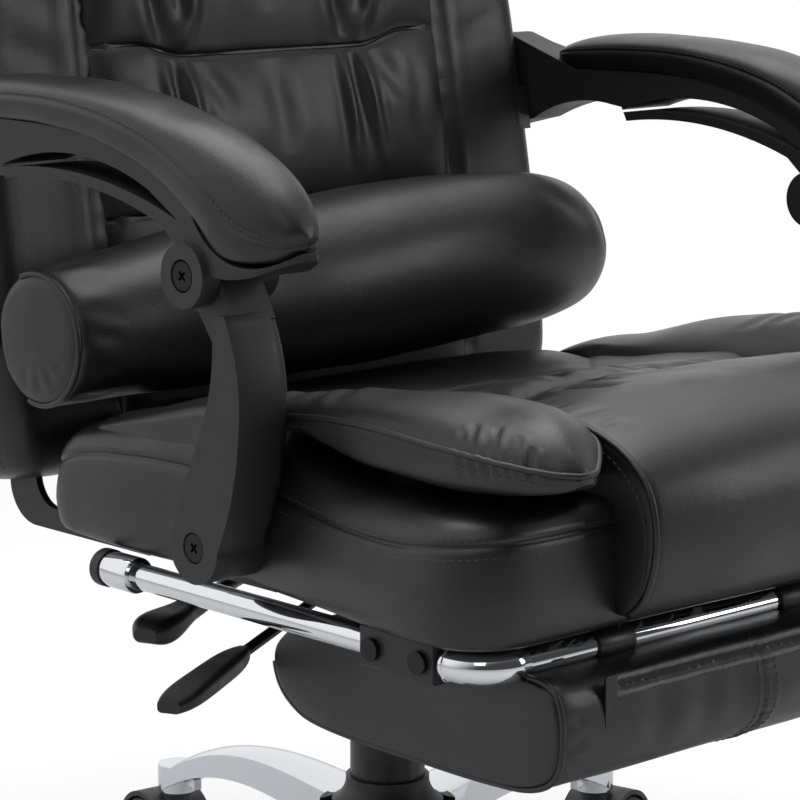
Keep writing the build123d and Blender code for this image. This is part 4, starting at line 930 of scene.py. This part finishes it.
strains = [leaned([(side * 170, -4, up), (side * 196, -3, up + 9), (side * 222, 2, up + 14)])
           for side in (-1, 1) for up in (262, 300, 372, 430)]
fold(back, across(back, strains), 7, 1.3, taper=0.5)
ripple(back, 130, 0.8, 14)
upholster(back, "back", "back_cushion", fill=0.85)
upholster(piping("back_piping", across(back, boxing, 0.4), 1.3), "back", fill=1.0)
rows = across(back, [run + (0, shift, 0) for run in boxing for shift in (-5, 5)], 0.1)
stitches("back_stitches", rows, "back", thread=0.7)

# The quilted middle: swollen blocks between narrow seams that dip across the middle, with long
# soft pleats that run up and down from two tucks in each seam.
SEAMS_UP = (30, 160, 271, 376, 482)
SEAM_DIP = 9
TUCKED_SEAMS = [up - SEAM_DIP for up in SEAMS_UP[2:4]]
near = [up + off for up in SEAMS_UP[1:-1] for off in (-5, -3, -1.5, 0, 1.5, 3, 5)]
ups = np.unique(np.r_[np.linspace(30, 490, 120), near])
heights = np.zeros(len(ups))
for low, high, swell in zip(SEAMS_UP, SEAMS_UP[1:], (8, 13, 14, 14)):
    part = (ups >= low) & (ups <= high)
    heights[part] = swell * np.maximum(np.sin(math.pi * (ups[part] - low) / (high - low)), 0)**0.36
rings = []
for up, swell in zip(ups, heights):
    loop = []
    for u in np.sin(np.linspace(-1, 1, 91) * math.pi / 2):
        x = u * (QUILT_HALF + 1)
        dip = np.clip((118 - abs(x)) / 42, 0, 1)
        dip = SEAM_DIP * dip**2 * (3 - 2 * dip) * np.clip((up - 175) / 70, 0, 1) * np.clip((470 - up) / 70, 0, 1)
        edge = max(0.0, 1 - abs(u)**11)**0.5
        loop.append((x, 4 - (8 + 0.75 * swell) * edge, up - dip))
    side, hem = QUILT_HALF, QUILT_HALF - 4
    loop += [(x, into, up) for x, into in ((side, 9), (hem, 13), (0, 13), (-hem, 13), (-side, 9))]
    rings.append(leaned(loop))
quilt = skin("quilted_panel", rings)


def up_the_back(co):
    """How far up the leaning back each point lies."""
    return (co[:, 2] - FOOT[1]) * math.cos(LEAN) + (co[:, 1] - FOOT[0]) * math.sin(LEAN)


co, out = points_of(quilt)
levels = (*SEAMS_UP[:2], *TUCKED_SEAMS, SEAMS_UP[4])
sewn = [np.exp(-((up_the_back(co) - level) / 6)**2) for level in levels]
sewn += [np.clip((np.abs(co[:, 0]) - 143) / 8, 0, 1), (out[:, 1] > 0.2) * 1.0]
puff(quilt, np.maximum.reduce(sewn), 2.0, 5.0)
refine(quilt)
TUCK_PLEATS = (  # sideways at the seam and at the far end, how far up, width, depth
    (-9, -6, -86, 4.6, -2.3), (6, 18, -84, 4.6, -2.6), (-2, 5, -58, 5.5, 2.2), (15, 46, -42, 8.0, 1.7),
    (-5, -17, 48, 6.5, 2.8), (4, 25, 52, 6.0, -2.3))
for level in TUCKED_SEAMS:
    for x in (-88, 66):
        for near_x, far_x, rise, width, depth in TUCK_PLEATS:
            run = [(x + near_x + (far_x - near_x) * t, -8, level + rise * t) for t in (0.02, 0.35, 0.7, 1.0)]
            fold(quilt, across(quilt, [leaned(run)]), width, depth, ridge=0.4, taper=0.5)
slack = [leaned([(x, -8, up), (x + 3, -10, up - 32), (x + 7, -8, up - 64)])
         for x, up in ((-8, 256), (-132, 250), (118, 252), (-14, 352), (110, 356))]
fold(quilt, across(quilt, slack), 10, 1.6, taper=0.5)
ripple(quilt, 80, 0.4, 31)
upholster(quilt, "back", "back_centre_panel", fill=0.8)

# Head pillow: a fat lobe with gathers along both its seams.
HEAD_LOW, HEAD_TALL, HEAD_HALF = 492, 198, 167
HEAD_HIGH = HEAD_LOW + HEAD_TALL
rings = []
for s in np.linspace(0, 1, 90):
    up = HEAD_LOW + HEAD_TALL * s
    swell = 40 * math.sin(math.pi * min(max(s, 0.001), 0.999))**0.5
    loop = []
    for u in np.linspace(-1, 1, 71):
        edge = max(0.0, 1 - abs(u)**3.4)**0.6
        loop.append((u * HEAD_HALF * (1 - 0.05 * (s - 0.5)**2), 4 - (4 + swell) * edge, up))
    loop += [(x, into, up) for x, into in ((164, 9), (150, 13), (0, 13), (-150, 13), (-164, 9))]
    rings.append(leaned(loop))
head = skin("head_pillow", rings)
co, out = points_of(head)
sewn = [np.exp(-((up_the_back(co) - level) / 5)**2) for level in (HEAD_LOW, HEAD_HIGH)]
puff(head, np.maximum.reduce([*sewn, (out[:, 1] > 0.2) * 1.0]), 2.0, 7.0)
refine(head)
tucks = []
for x in (-132, -104, -78, -50, -24, 4, 30, 58, 86, 112, 138):
    tucks.append(leaned([(x, -4, 496), (x + 1, -20, 506), (x + 3, -32, 524)]))
    tucks.append(leaned([(x + 9, -4, 686), (x + 8, -20, 676), (x + 6, -32, 658)]))
fold(head, across(head, tucks), 4.2, 1.8, taper=0.5)
ripple(head, 80, 0.8, 17)
upholster(head, "back", "headrest_pillow", fill=0.75)

# Rear panel: thin foam under one piece of leather, drawn over a board and stapled at its rim.
REAR = (  # up the back, half width
    (8, 214), (12, 226), (22, 232), (60, 234), (200, 235), (320, 232), (400, 226), (480, 218), (560, 207), (620, 195),
    (665, 179), (700, 156), (718, 134), (727, 112))
REAR_ROUND = ((0.0, 3.0), (2.0, 0.6), (4.5, 0.0), (7.0, 2.5), (8.4, 8), (9.2, 18))  # how deep, how far in
REAR_FACE = 103.5
side = through(REAR, 100)
outline = np.vstack([np.c_[side[:, 1], side[:, 0]], np.c_[-side[::-1, 1], side[::-1, 0]]])
middle = np.array((0.0, 368.0))
away = outline - middle
rings = []
for depth, inset in REAR_ROUND:
    rim = outline - away / np.linalg.norm(away, axis=1, keepdims=True) * inset
    rings.append(leaned(np.c_[rim[:, 0], np.full(len(rim), REAR_FACE + depth), rim[:, 1]]))
for share in (0.85, 0.6, 0.35, 0.12):
    flat = (rim - middle) * share + middle
    swell = REAR_FACE + REAR_ROUND[-1][0] + (1 - share) * 1.2
    rings.append(leaned(np.c_[flat[:, 0], np.full(len(flat), swell), flat[:, 1]]))
rear = skin("rear_cover", rings)
ripple(rear, 160, 0.5, 9)
upholster(rear, "back", "rear_panel", fill=0.6)

# ------------------------ lumbar roll
# A stuffed roll held to the back by an elastic band: sewn end caps with piping, the cover
# pulled tight and wrinkled just inside each cap.
ROLL = (  # along, radius
    (-245, 36), (-243.5, 39.5), (-241, 41.5), (-236, 42.5), (-226, 43.5), (-205, 45), (-170, 47.5), (-120, 52),
    (-60, 56), (0, 58), (60, 58), (120, 55.5), (165, 52), (193, 48), (208, 44), (219, 38.5), (226, 31.5), (230, 22),
    (232, 12))
ROLL_SIDES = 110
ROLL_TILT = math.radians(2.2)
around = np.arange(ROLL_SIDES) * 2 * math.pi / ROLL_SIDES


def roll_ring(x, radius, share=1.0):
    """A ring of the roll, pressed flat where it rests against the back."""
    swell = max(radius - 40, 0)
    middle_y = 51 - swell * 0.62
    middle_z = 458 + x * math.tan(ROLL_TILT) + swell * 0.45
    flat = np.c_[np.cos(around), np.sin(around)] * radius * share
    y, z = middle_y + flat[:, 0], middle_z + flat[:, 1]
    into = (y - FOOT[0]) * math.cos(LEAN) - (z - FOOT[1]) * math.sin(LEAN)
    over = np.maximum(into + 5.0, 0)
    return np.c_[np.full(len(around), x), y - over * math.cos(LEAN), z + over * math.sin(LEAN)]


END_CAP = ((0.12, 2.2), (0.4, 1.9), (0.7, 1.2), (0.9, 0.5))  # share of the radius, how far it bulges
end_x, end_radius = ROLL[0]
rings = [roll_ring(end_x - bulge, end_radius, share) for share, bulge in END_CAP]
rings += [roll_ring(x, radius) for x, radius in through(ROLL, 120)]
roll = skin("lumbar_roll_cover", rings)
co, out = points_of(roll)
puff(roll, np.maximum((co[:, 0] < -238) * 1.0, (out[:, 1] > 0.55) * 1.0), 1.5, 3.0)
refine(roll)


def on_roll(x, radius, angle):
    """A point near the sewn end, by its radius and turn."""
    return x, 51 + radius * math.cos(angle), 449 + radius * math.sin(angle)


creases = []
for angle in (97, 118, 127, 152, 171, 196, 229, 251):
    a = math.radians(angle)
    creases.append([on_roll(-239, 42, a), on_roll(-228, 44, a + 0.03), on_roll(-214 + angle % 7, 46, a + 0.09)])
fold(roll, across(roll, creases), 4.6, 0.6, taper=0.5)
cap_folds = [[on_roll(-250, 34, a), on_roll(-250, 20, a + 0.2)] for a in (3.6, 4.0, 4.5, 5.0)]
fold(roll, across(roll, [through(line, 12) for line in cap_folds]), 4, 0.5, taper=0.5)
sweeps = [[(-150, 22, 500), (-120, 8, 497), (-90, 2, 486)], [(150, 16, 512), (176, 6, 500), (196, 4, 486)],
          [(200, 20, 500), (214, 12, 486), (222, 12, 470)]]
fold(roll, across(roll, sweeps), 10, 1.2, taper=0.5)
ripple(roll, 90, 0.6, 23)
upholster(roll, "back", "lumbar_roll", fill=0.8)
cap_ring = across(roll, [roll_ring(-243, 40.5)[20:88]], 0.7)
upholster(piping("roll_piping", cap_ring, 1.9), "back", fill=1.0)

# Elastic band, woven polyester over rubber, ribbed along its length.
elastic, tree, shader, place = finish("woven_elastic", "#161617", 0.8)
ribs = add(tree, "ShaderNodeTexWave", {"Vector": place, "Scale": 200.0, "Distortion": 0.4}, bands_direction="Z")
weft = add(tree, "ShaderNodeTexWave", {"Vector": place, "Scale": 320.0}, bands_direction="X")
woven = add(tree, "ShaderNodeMath", {0: ribs.outputs["Fac"], 1: weft.outputs["Fac"]}, operation="ADD")
emboss(tree, shader, woven.outputs[0], 0.3, 0.6)
dress("roll_strap", elastic, 0.4)
